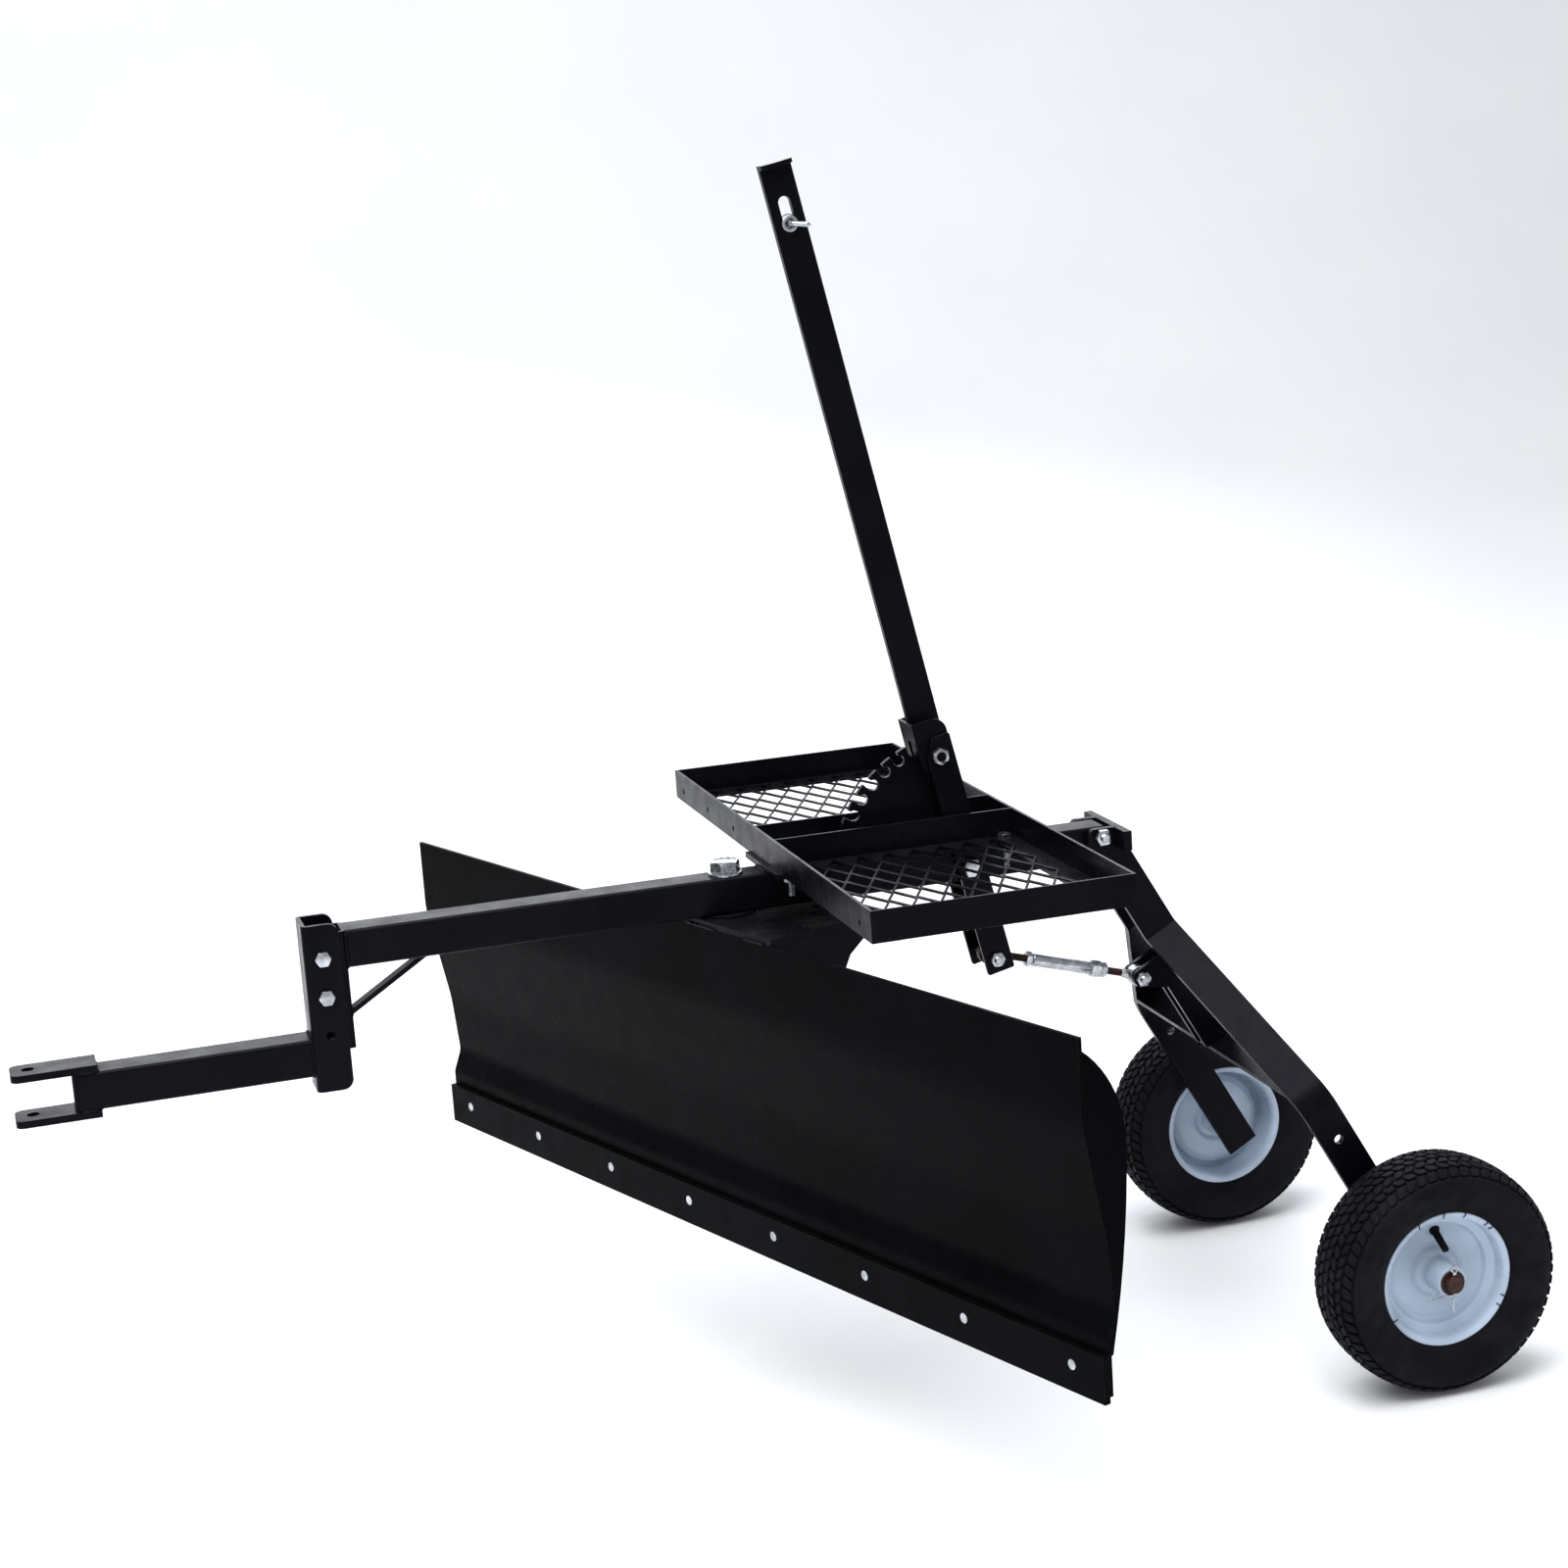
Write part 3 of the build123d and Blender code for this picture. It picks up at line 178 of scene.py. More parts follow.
def painted(name, colour, worn, rough, specular, edge_wear_and_painted_light=0.7, dust=0.05, peel=0.00004):
    """Sprayed paint: slight orange peel, dust on top faces and thin lines of the worn colour along edges,
    partly wear and partly a painted highlight for the shine of rounded edges.
    """
    made, tree, surface = principled(name, Specular_IOR_Level=specular, Specular_Tint=COOL_GLEAM)
    shade = [c * 0.6 for c in colour[:3]] + [1]
    tint = blend_colour(tree, grain(tree, 6, 0.0, 1.0), shade, colour)
    dusty = maths(tree, "MULTIPLY", up_mask(tree), dust)
    tint = blend_colour(tree, dusty, tint, DUST_COLOUR)
    scuffs = grain(tree, 55, 0.0, 1.0, start=0.68, end=0.76, stretch=(1, 1, 0.25))
    tint = blend_colour(tree, maths(tree, "MULTIPLY", scuffs, 0.04), tint, worn)
    # Lines of the worn colour along edges: partly wear, partly a painted highlight standing in for the shine
    # of rounded edges.
    edges = maths(tree, "MULTIPLY", edge_mask(tree, 1.1 * MM, 3.0), edge_wear_and_painted_light)
    tint = blend_colour(tree, edges, tint, worn)
    feed(tree, surface.inputs["Base Color"], tint)
    spread = grain(tree, 30, rough * 0.8, rough * 1.25, detail=5.0)
    dull = maths(tree, "ADD", spread, maths(tree, "MULTIPLY", dusty, 1.5))
    feed(tree, surface.inputs["Roughness"], dull)
    waves = bump(tree, grain(tree, 9, 0.0, 1.0, detail=1.0), 0.00012)
    feed(tree, surface.inputs["Normal"], bump(tree, grain(tree, 420, 0.0, 1.0), peel, waves))
    return made


def plated(name, colour, tarnish, rough):
    """Zinc plate: cloudy and finely rough, with duller spots."""
    made, tree, surface = principled(name, Metallic=1.0)
    clouds = grain(tree, 70, 0.0, 1.0, detail=4.0)
    tint = blend_colour(tree, clouds, colour, tarnish)
    spots = grain(tree, 420, 0.0, 0.7, start=0.6, end=0.7)
    tint = blend_colour(tree, spots, tint, (0.20, 0.18, 0.15, 1))
    feed(tree, surface.inputs["Base Color"], tint)
    feed(tree, surface.inputs["Roughness"], grain(tree, 240, rough * 0.7, rough * 1.5))
    feed(tree, surface.inputs["Normal"], bump(tree, grain(tree, 900, 0.0, 1.0), 0.00002))
    return made


def rusty(name):
    """Bare steel with a film of dark red rust."""
    made, tree, surface = principled(name, Metallic=0.35, Specular_IOR_Level=0.4)
    patches = grain(tree, 90, 0.0, 1.0, detail=5.0)
    tint = blend_colour(tree, patches, (0.050, 0.013, 0.009, 1), (0.016, 0.009, 0.007, 1))
    worn = grain(tree, 300, 0.0, 0.5, start=0.6, end=0.72)
    feed(tree, surface.inputs["Base Color"], blend_colour(tree, worn, tint, (0.22, 0.12, 0.09, 1)))
    feed(tree, surface.inputs["Roughness"], grain(tree, 200, 0.4, 0.7))
    feed(tree, surface.inputs["Normal"], bump(tree, grain(tree, 700, 0.0, 1.0), 0.00006))
    return made


def rubber(name, colour, rough):
    """Moulded rubber: fine grain, a dusty film, and a lighter grey along the edges that is a painted sheen
    for slightly polished high spots.
    """
    made, tree, surface = principled(name, Specular_IOR_Level=0.07)
    film = grain(tree, 18, 0.0, 0.35, detail=4.0)
    dirt = [c * 2.6 + 0.004 for c in colour[:3]] + [1]
    tint = blend_colour(tree, film, colour, dirt)
    # Lighter grey along the edges: a painted sheen on the high spots.
    tint = blend_colour(tree, edge_mask(tree, 1.0 * MM, 1.2), tint, (0.030, 0.029, 0.034, 1))
    feed(tree, surface.inputs["Base Color"], tint)
    feed(tree, surface.inputs["Roughness"], grain(tree, 60, rough * 0.85, rough * 1.15))
    fine = bump(tree, grain(tree, 1300, 0.0, 1.0), 0.00005)
    feed(tree, surface.inputs["Normal"], bump(tree, grain(tree, 110, 0.0, 1.0), 0.00012, fine))
    return made


def floor_paint(name):
    """Pale studio floor."""
    made, tree, surface = principled(name, Specular_IOR_Level=0.1)
    tint = blend_colour(tree, grain(tree, 1.5, 0.0, 1.0), (0.86, 0.86, 0.87, 1), (0.89, 0.89, 0.89, 1))
    feed(tree, surface.inputs["Base Color"], tint)
    feed(tree, surface.inputs["Roughness"], 0.9)
    return made


def black_paint():
    """Half-gloss black on the frame, trays, lever, handle and carriage."""
    # The light cool grey edge colour is partly wear and partly a painted highlight on the frame's rounded
    # edges.
    return painted("black_paint", (0.0034, 0.0033, 0.0050, 1), (0.050, 0.050, 0.060, 1),
                   rough=0.27, specular=0.055, dust=0.015)


def shaded_blade_paint():
    """Darker, less glossy copy of the black paint on the moldboard and its end plates: its darker colour is
    painted shade.
    """
    return painted("shaded_blade_paint", (0.0022, 0.0022, 0.0028, 1), (0.030, 0.030, 0.036, 1),
                   rough=0.30, specular=0.012, dust=0.005)


def edge_paint():
    """Coarser black on the cutting edge."""
    return painted("edge_paint", (0.0024, 0.0023, 0.0030, 1), (0.05, 0.045, 0.04, 1),
                   rough=0.36, specular=0.015, dust=0.005, peel=0.00008)


def mesh_paint():
    """Dull black on the expanded-metal floors."""
    return painted("mesh_paint", (0.0015, 0.0015, 0.002, 1), (0.02, 0.02, 0.02, 1),
                   rough=0.4, specular=0.03, edge_wear_and_painted_light=0.2, dust=0.0)


def rim_paint():
    """Pale blue-white enamel on the rims."""
    return painted("rim_paint", (0.52, 0.62, 0.75, 1), (0.26, 0.28, 0.31, 1),
                   rough=0.28, specular=0.4, edge_wear_and_painted_light=0.25, dust=0.1)


def zinc_steel():
    """Bright zinc on the bolts, nuts, handle pin and turnbuckle."""
    return plated("zinc_steel", (0.58, 0.60, 0.64, 1), (0.33, 0.34, 0.36, 1), rough=0.24)


def rod_steel():
    """Rusty steel on the spindles, their washers and the threaded rods."""
    return rusty("rod_steel")


def tyre_rubber():
    """Black rubber of the tyres, finely mottled."""
    return rubber("tyre_rubber", (0.0036, 0.0034, 0.0050, 1), rough=0.66)


def valve_rubber():
    """Smoother rubber of the valve stems."""
    return rubber("valve_rubber", (0.003, 0.003, 0.003, 1), rough=0.5)


MATERIALS = {make.__name__: make() for make in (
    black_paint, shaded_blade_paint, edge_paint, mesh_paint, zinc_steel, rod_steel, rim_paint,
    tyre_rubber, valve_rubber)}


# ---------------------------------------------------------------- mesh helpers

def finish_piece(name, bm, body, slot, replaces=(), sharp=32):
    """Turns a bmesh into a piece of the object, with edges sharper than an angle kept sharp."""
    bmesh.ops.recalc_face_normals(bm, faces=bm.faces)
    for face in bm.faces:
        face.smooth = True
    for edge in bm.edges:
        edge.smooth = edge.calc_face_angle(0) < math.radians(sharp)
    mesh = bpy.data.meshes.new(name)
    bm.to_mesh(mesh)
    bm.free()
    mesh.materials.append(MATERIALS[slot])
    piece = bpy.data.objects.new(name, mesh)
    bpy.context.scene.collection.objects.link(piece)
    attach(piece, body)
    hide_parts(*replaces)
    return piece


def bridge(bm, low, high):
    """Faces between two rings, either of which may be a single point."""
    count = max(len(low), len(high))
    for i in range(count):
        j = (i + 1) % count
        corners = [low[i % len(low)], low[j % len(low)], high[j % len(high)], high[i % len(high)]]
        unique = list(dict.fromkeys(corners))
        bm.faces.new(unique)


def skin(bm, rings, closed=False):
    """Surface through rings of points; open ends are capped."""
    made = [[bm.verts.new(p) for p in ring] for ring in rings]
    for low, high in zip(made, made[1:]):
        bridge(bm, low, high)
    if closed:
        bridge(bm, made[-1], made[0])
        return
    for end in (made[0], made[-1]):
        if len(end) > 2:
            bm.faces.new(end)


def turns(count):
    """Angles evenly round a circle."""
    return [2 * math.pi * i / count for i in range(count)]


def lathe(bm, profile, where, segments=64, closed=False):
    """Turns (radius, along) points about the local Z axis."""
    rings = []
    for radius, along in profile:
        around = turns(segments) if radius > 1e-6 else [0.0]
        ring = [where @ Vector((radius * math.cos(a), radius * math.sin(a), along)) for a in around]
        rings.append(ring)
    skin(bm, rings, closed)


def rounded(points, radius, steps=4, closed=False):
    """Polyline with its corners rounded by short curves."""
    made = []
    last = len(points) - 1
    for i, point in enumerate(points):
        if not closed and i in (0, last):
            made.append(point)
            continue
        here = Vector(point)
        before = Vector(points[i - 1]) - here
        after = Vector(points[(i + 1) % len(points)]) - here
        cut = min(radius, before.length * 0.45, after.length * 0.45)
        start = here + before.normalized() * cut
        end = here + after.normalized() * cut
        for k in range(steps + 1):
            t = k / steps
            made.append(tuple(start * (1 - t) ** 2 + here * 2 * t * (1 - t) + end * t ** 2))
    return made


def facing(origin, direction, turn=0.0):
    """Matrix that puts local Z along a direction."""
    spin = Vector(direction).to_track_quat("Z", "Y").to_matrix().to_4x4()
    return Matrix.Translation(origin) @ spin @ Matrix.Rotation(turn, 4, "Z")


def hex_radius(angle, flats):
    """Distance from a hexagon's centre to its outline at an angle."""
    wrapped = (angle + math.pi / 6) % (math.pi / 3) - math.pi / 6
    return flats / 2 / math.cos(wrapped)


def hexagon(bm, where, flats, low, high, bore=0.0, both=True):
    """Hex prism with its corners turned off at the top, and at the bottom if both."""
    circle = flats * 0.475
    around = turns(48)
    slope = math.tan(math.radians(30))

    def ring(radius, along):
        return [where @ Vector((radius * math.cos(a), radius * math.sin(a), along)) for a in around]

    def corner(side, inward):
        made = []
        for a in around:
            radius = hex_radius(a, flats)
            along = side + inward * (radius - circle) * slope
            made.append(where @ Vector((radius * math.cos(a), radius * math.sin(a), along)))
        return made

    inner_low = ring(bore, low + 0.4 * MM) if bore else [where @ Vector((0, 0, low))]
    inner_high = ring(bore, high - 0.4 * MM) if bore else [where @ Vector((0, 0, high))]
    rings = [inner_low]
    if bore:
        rings.append(ring(bore + 0.5 * MM, low))
    rings.append(ring(circle if both else flats * 0.47, low))
    rings.append(corner(low, 1 if both else 0))
    rings.append(corner(high, -1))
    rings.append(ring(circle, high))
    if bore:
        rings.append(ring(bore + 0.5 * MM, high))
    rings.append(inner_high)
    skin(bm, rings, closed=bool(bore))


def thread(bm, where, radius, low, high, pitch):
    """Rod with a helical thread and a turned-off end at the high side."""
    depth = pitch * 0.55
    steps = max(8, int((high - low) / pitch * 6))
    rings = [[where @ Vector((0, 0, low))]]
    for i in range(steps + 1):
        along = low + (high - low) * i / steps
        end_gap = min(along - low, high - along)
        limit = radius - max(0.0, 1.2 * MM - (high - along)) * 0.8
        ring = []
        for a in turns(24):
            phase = ((along - low) / pitch - a / (2 * math.pi)) % 1
            groove = depth * abs(2 * phase - 1) * min(1.0, end_gap / pitch + 0.2)
            r = min(radius - groove, limit)
            ring.append(where @ Vector((r * math.cos(a), r * math.sin(a), along)))
        rings.append(ring)
    rings.append([where @ Vector((0, 0, high))])
    skin(bm, rings)


def sweep(bm, points, radii, sides=10, side=Vector((0, 1, 0))):
    """Round bar through points, with a radius at each."""
    rings = []
    for i, point in enumerate(points):
        ahead = points[min(i + 1, len(points) - 1)] - points[max(i - 1, 0)]
        ahead.normalize()
        across = ahead.cross(side)
        if across.length < 1e-3:
            across = ahead.cross(Vector((1, 0, 0.3)))
        across.normalize()
        up = across.cross(ahead)
        rings.append([point + (across * math.cos(a) + up * math.sin(a)) * radii[i] for a in turns(sides)])
    skin(bm, rings)


RIPPLE_STEP = 0.9 * MM


def ripple(i):
    """Relative thickness of a weld bead at one step; a ripple is four steps long."""
    return 0.84 + 0.16 * ((i % 4) / 3)


def weld(bm, start, end, radius=2.8 * MM):
    """Bead of overlapping ripples along a joint."""
    start, end = Vector(start), Vector(end)
    length = (end - start).length
    count = max(6, int(length / RIPPLE_STEP))
    points, radii = [], []
    for i in range(count + 1):
        t = i / count
        point = start.lerp(end, t)
        wander = noise.noise(point * 160) * 0.5 * MM
        ends = min(1.0, 0.45 + min(t, 1 - t) * length / (3 * MM))
        points.append(point + Vector((wander, wander * 0.5, wander)))
        radii.append(radius * ripple(i) * ends)
    sweep(bm, points, radii, sides=8)


def weld_ring(bm, centre, axis, radius, size=2.8 * MM):
    """Round bead about an axis."""
    where = facing(centre, axis)
    count = int(2 * math.pi * radius / RIPPLE_STEP)
    rings = []
    for i, a in enumerate(turns(count)):
        thick = size * ripple(i)
        ring = []
        for b in turns(8):
            r = radius + thick * math.cos(b)
            ring.append(where @ Vector((r * math.cos(a), r * math.sin(a), thick * math.sin(b))))
        rings.append(ring)
    skin(bm, rings, closed=True)


# ---------------------------------------------------------------- reading the CAD solids

def solids(node):
    """The separate solids of a node, each as a list of its points."""
    mesh = frame["nodes"][node].data
    keys = [tuple(round(c, 6) for c in v.co) for v in mesh.vertices]
    parent = {key: key for key in keys}

    def root(key):
        while parent[key] != key:
            parent[key] = parent[parent[key]]
            key = parent[key]
        return key

    for edge in mesh.edges:
        a, b = (root(keys[i]) for i in edge.vertices)
        parent[a] = b
    groups = {}
    for key in parent:
        groups.setdefault(root(key), []).append(Vector(key))
    return sorted(groups.values(), key=lambda pts: tuple(round(c, 4) for c in pts[0]))


def box_of(points):
    """Lowest and highest corner of the box round some points."""
    low = Vector(min(p[i] for p in points) for i in range(3))
    high = Vector(max(p[i] for p in points) for i in range(3))
    return low, high


def pitch_for(radius):
    """About the coarse metric pitch of a bolt of this radius."""
    return radius * 0.2 + 0.4 * MM


def rebuild_fastener(bm, points, axis):
    """Bolt, nut or washer with threads and turned corners in place of a plain solid."""
    direction = Vector(axis)
    low, high = box_of(points)
    centre = (low + high) / 2
    along = [(p - centre).dot(direction) for p in points]
    start, end = min(along), max(along)
    off_axis = [((p - centre) - direction * t).length for p, t in zip(points, along)]
    widest = max(off_axis)
    far = next(p for p, r in zip(points, off_axis) if r > widest - 1e-6)
    where = facing(centre, direction)
    local = where.inverted() @ far
    turn = math.atan2(local.y, local.x) - math.pi / 6
    where = facing(centre, direction, turn)
    rim = [r for r, t in zip(off_axis, along) if t > end - 1e-5]
    foot = [r for r, t in zip(off_axis, along) if t < start + 1e-5]
    outer = [r for r in off_axis if r > widest * 0.97]
    hexed = len(outer) < len(off_axis) * 0.45 and min(max(rim), max(foot)) < widest * 0.98
    if not hexed:  # a washer or spacer
        inner = min(off_axis)
        ring = [(inner, start), (widest, start), (widest, end), (inner, end)]
        lathe(bm, rounded(ring, 0.4 * MM, 2, closed=True), where, 48, closed=True)
        return
    flats = widest * 2 * math.cos(math.pi / 6)
    if min(min(rim), min(foot)) > 0.25 * flats and end - start < flats:  # a nut
        hexagon(bm, where, flats, start, end, bore=min(off_axis))
        return
    if max(foot) > max(rim):  # a bolt whose head is at the low end
        rim, foot = foot, rim
        where = where @ Matrix.Rotation(math.pi, 4, "X")
        along = [-t for t in along]
        start, end = min(along), max(along)
    shank = max(foot) + 1.0 * MM
    head = min(t for t, r in zip(along, off_axis) if r > shank * 1.25)
    hexagon(bm, where, flats, head, end, both=False)
    turned = where @ Matrix.Rotation(math.pi, 4, "X")
    smooth_end = -head + (head - start) * 0.35
    lathe(bm, [(0, -head - 0.01 * MM), (shank, -head - 0.01 * MM), (shank, smooth_end),
               (0, smooth_end)], turned, 32)
    thread(bm, turned, shank, smooth_end - 0.2 * MM, -start, pitch_for(shank))


def fastener_nodes():
    """Every node of bolts, nuts and washers, rebuilt along the axis it points."""
    across = (0, 1, 0)
    upright = (0, 0, 1)
    groups = {
        across: ("hitch_bolts", "hitch_nuts", "lever_pivot_bolt", "carriage_pivot_bolt",
                 "handle_pivot_bolt", "link_front_bolt", "link_rear_bolt", "axle_washers"),
        upright: ("tray_bolts", "tray_nuts", "blade_pivot_bolt", "blade_pivot_washers",
                  "blade_pivot_nut"),
    }
    for axis, nodes in groups.items():
        for node in nodes:
            bm = bmesh.new()
            for points in solids(node):
                rebuild_fastener(bm, points, axis)
            finish_piece("fine_" + node, bm, BODY_OF[node], LOOK_OF[node], [node])


def handle_bolt_buttons():
    """Dark centre of each handle bolt's head."""
    low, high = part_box("handle_pivot_bolt")
    bm = bmesh.new()
    for side, y in ((1, high.y), (-1, low.y)):
        where = facing(Vector(((low.x + high.x) / 2, y, (low.z + high.z) / 2)), (0, side, 0))
        button = [(0, -1), (6.9, -1), (6.9, 0.5), (6.2, 1.0), (2.2, 1.2), (1.8, 0.5), (0, 0.5)]
        lathe(bm, [(r * MM, t * MM) for r, t in button], where, 32)
    finish_piece("handle_pivot_buttons", bm, BODY_OF["handle_pivot_bolt"], "black_paint")


def handle_pin():
    """Loose pin in the keyhole: a collar that fills the hole, and a bent arm with a pointed end."""
    points = max(solids("handle_pin"), key=len)
    back = min(p.y for p in points)
    low, high = box_of([p for p in points if p.y < back + 1 * MM])
    centre = Vector(((low.x + high.x) / 2, back + 8 * MM, (low.z + high.z) / 2))
    tilt = Matrix.Translation(centre) @ Matrix.Rotation(math.radians(11.9), 4, "Y")
    where = tilt @ facing(Vector(), (0, 1, 0))
    keeper = (high.z - low.z) / 2
    bm = bmesh.new()
    ring = [(6.4, -5), (11.3, -5), (11.3, 4.4), (10.4, 5.6), (7.4, 5.6), (6.4, 4.4)]
    lathe(bm, rounded([(r * MM, y * MM) for r, y in ring], 0.8 * MM, 3, closed=True), where, 48, closed=True)
    lathe(bm, [(0, -8 * MM), (keeper - 1 * MM, -8 * MM), (keeper, -7 * MM), (keeper, -5.2 * MM),
               (0, -5.2 * MM)], where, 48)
    line = [(0, -5.2, 0), (0, 3, 0), (0, 7, 0), (-3, 11, -1), (-10, 16.5, -3.5), (-17, 22, -6),
            (-21, 25, -7.4)]
    path = catmull([tilt @ (Vector(p) * MM) for p in line], 4)
    width = [4.0 * MM] * (len(path) - 5) + [4.4 * MM, 3.8 * MM, 2.8 * MM, 1.8 * MM, 1.0 * MM]
    sweep(bm, path, width, sides=20, side=Vector((0, 0, 1)))
    finish_piece("fine_handle_pin", bm, BODY_OF["handle_pin"], SLOT_OF["handle_pin"], ["handle_pin"])


# ---------------------------------------------------------------- wheels

BLOCKS_PER_ROW = 60
GROOVE = 4.5 * MM
SHOULDER = 57 * MM  # run from the crown to the tread's edge


def catmull(points, steps):
    """Smooth curve through points."""
    pts = [Vector(p) for p in points]
    pts = [pts[0] * 2 - pts[1]] + pts + [pts[-1] * 2 - pts[-2]]
    made = []
    for a, b, c, d in zip(pts, pts[1:], pts[2:], pts[3:]):
        for k in range(steps):
            t = k / steps
            made.append(0.5 * (2 * b + (c - a) * t + (2 * a - 5 * b + 4 * c - d) * t * t
                               + (3 * b - a - 3 * c + d) * t ** 3))
    made.append(pts[-2])
    return made


def half_section(radius, half):
    """Outside of the tyre's section from the crown to the bead, as (radius, along)."""
    drops = [(0, 0), (1.2, 18.5), (4.2, 34), (8.5, 42), (15, 48), (31, 52), (45, 50), (58, 45),
             (66, 40), (71, 35.5), (77, 32.5)]
    widest = 52 * MM
    extra = half / widest - 1
    bead = drops[-1][0]
    points = [(radius - d * MM, y * MM * (1 + extra * (1 - (d / bead) ** 2))) for d, y in drops]
    return catmull(points, 6)


def tyre(node):
    """Turf tyre: carcass with ribbed sidewalls under rows of tread blocks."""
    low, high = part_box(node)
    centre = (low + high) / 2
    radius = (high.z - low.z) / 2
    half = (high.y - low.y) / 2
    curve = half_section(radius, half)
    run = [0.0]
    for a, b in zip(curve, curve[1:]):
        run.append(run[-1] + (b - a).length)

    def section(s):
        """Point and outward normal of the section at a run from the crown."""
        flip = 1 if s >= 0 else -1
        s = abs(s)
        i = max(k for k, r in enumerate(run[:-1]) if r <= s)
        t = (s - run[i]) / (run[i + 1] - run[i])
        point = curve[i].lerp(curve[i + 1], t)
        ahead = (curve[i + 1] - curve[i]).normalized()
        return Vector((point.x, point.y * flip)), Vector((ahead.y, -ahead.x * flip))

    where = facing(centre, (0, 1, 0))
    bm = bmesh.new()
    outside = []
    stations = 46
    ridges = ((70, 1.2, 0.7), (96, 1.4, 0.8), (101, 1.4, 0.8))  # run, width and height, mm
    for k in range(stations + 1):
        s = run[-1] * 0.999 * k / stations
        point, normal = section(s)
        sink = GROOVE * min(1.0, max(0.0, (SHOULDER + 3 * MM - s) / (5 * MM)))
        ridge = sum(h * MM * math.exp(-((s - c * MM) / (w * MM)) ** 2) for c, w, h in ridges)
        outside.append(point + normal * (ridge - sink))
    tread_wall, side_wall = 9 * MM, 4 * MM
    inside = []
    for p in outside[::4]:
        wall = tread_wall if p.x > radius - 40 * MM else side_wall
        inside.append((max(p.x - wall, radius - 74 * MM), p.y * 0.84))
    left = [(p.x, p.y) for p in outside]
    right = [(p.x, -p.y) for p in outside[1:]]
    profile = right[::-1] + left + inside[::-1][:-1] + [(r, -y) for r, y in inside]
    lathe(bm, profile, where, 144, closed=True)
    tread(bm, where, section)
    finish_piece("fine_" + node, bm, BODY_OF[node], SLOT_OF[node], [node], sharp=38)


def tread(bm, where, section):
    """Seven rows of blocks round the crown, each row half a pitch on from the next."""
    rows = [(0, 11), (15.5, 12), (31, 11.5), (47.5, 15)]  # run from the crown and width, mm
    pitch = 2 * math.pi / BLOCKS_PER_ROW
    for index, (offset, width) in enumerate(rows):
        for flip in ((1,) if offset == 0 else (1, -1)):
            for k in range(BLOCKS_PER_ROW):
                middle = (k + 0.5 * (index % 2)) * pitch
                block(bm, where, section, middle, offset * MM * flip, width * MM, pitch * 0.74,
                      0.16 * pitch * (1 if index % 2 else -1) * flip)


def block(bm, where, section, middle, offset, width, length, skew):
    """One tread block: eight-sided, with a softened top edge."""
    outline = [(-1, -0.6), (-0.7, -1), (0.7, -1), (1, -0.6), (1, 0.6), (0.7, 1), (-0.7, 1), (-1, 0.6)]
    rings = []
    for size, depth in ((1.06, GROOVE + 0.6 * MM), (1.0, 0.9 * MM), (0.86, 0.1 * MM)):
        ring = []
        for u, v in outline:
            s = offset + v * width / 2 * size
            a = middle + u * length / 2 * size + v * skew
            point, normal = section(s)
            spot = point - normal * depth
            ring.append(where @ Vector((spot.x * math.cos(a), spot.x * math.sin(a), spot.y)))
        rings.append(ring)
    skin(bm, rings)


def rim(node, outboard):
    """Pressed rim: rolled lips, bead seats, stepped dish and a hub tube."""
    low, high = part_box(node)
    centre = (low + high) / 2
    lip = (high.z - low.z) / 2
    hub_half = (high.y - low.y) / 2
    bore = 12.75 * MM
    where = facing(centre, (0, outboard, 0))
    # Radius and distance along the axis, mm: well and lip, front of the dish, hub tube, back.
    outline = [(95, -38), (95, -34.6), (90, -33), (88, -31), (88, 31), (90, 33), (95, 34.6), (95, 38),
               (92.4, 38.4), (86.6, 35), (84.6, 29), (84, 17), (77, 13.5), (73, 13), (70, 6),
               (62, 1.5), (44, 0), (37, 1.5), (31, 8), (23, 9.5), (21.4, 12), (21.4, 50), (14.5, 50),
               (12.75, 48.6), (12.75, -48.6), (14.5, -50), (21.4, -50), (21.4, 4), (30, 3.5),
               (36, -3), (44, -4), (62, -3), (72, 2.4), (75.5, 9.4), (84, 12.4), (84, -29),
               (86.6, -35), (92.4, -38.4)]
    scale = lip / (outline[0][0] * MM)
    hub_ends = {50: hub_half, 48.6: hub_half - 1.4 * MM}
    points = []
    for r, y in outline:
        reach = hub_ends.get(abs(y), abs(y) * MM)
        points.append((max(r * MM * scale, bore), math.copysign(reach, y)))
    bm = bmesh.new()
    lathe(bm, rounded(points, 1.6 * MM, 3, closed=True), where, 128, closed=True)
    weld_ring(bm, centre + Vector((0, outboard * 9.8 * MM, 0)), (0, 1, 0), 22.2 * MM, 1.8 * MM)
    finish_piece("fine_" + node, bm, BODY_OF[node], SLOT_OF[node], [node], sharp=40)


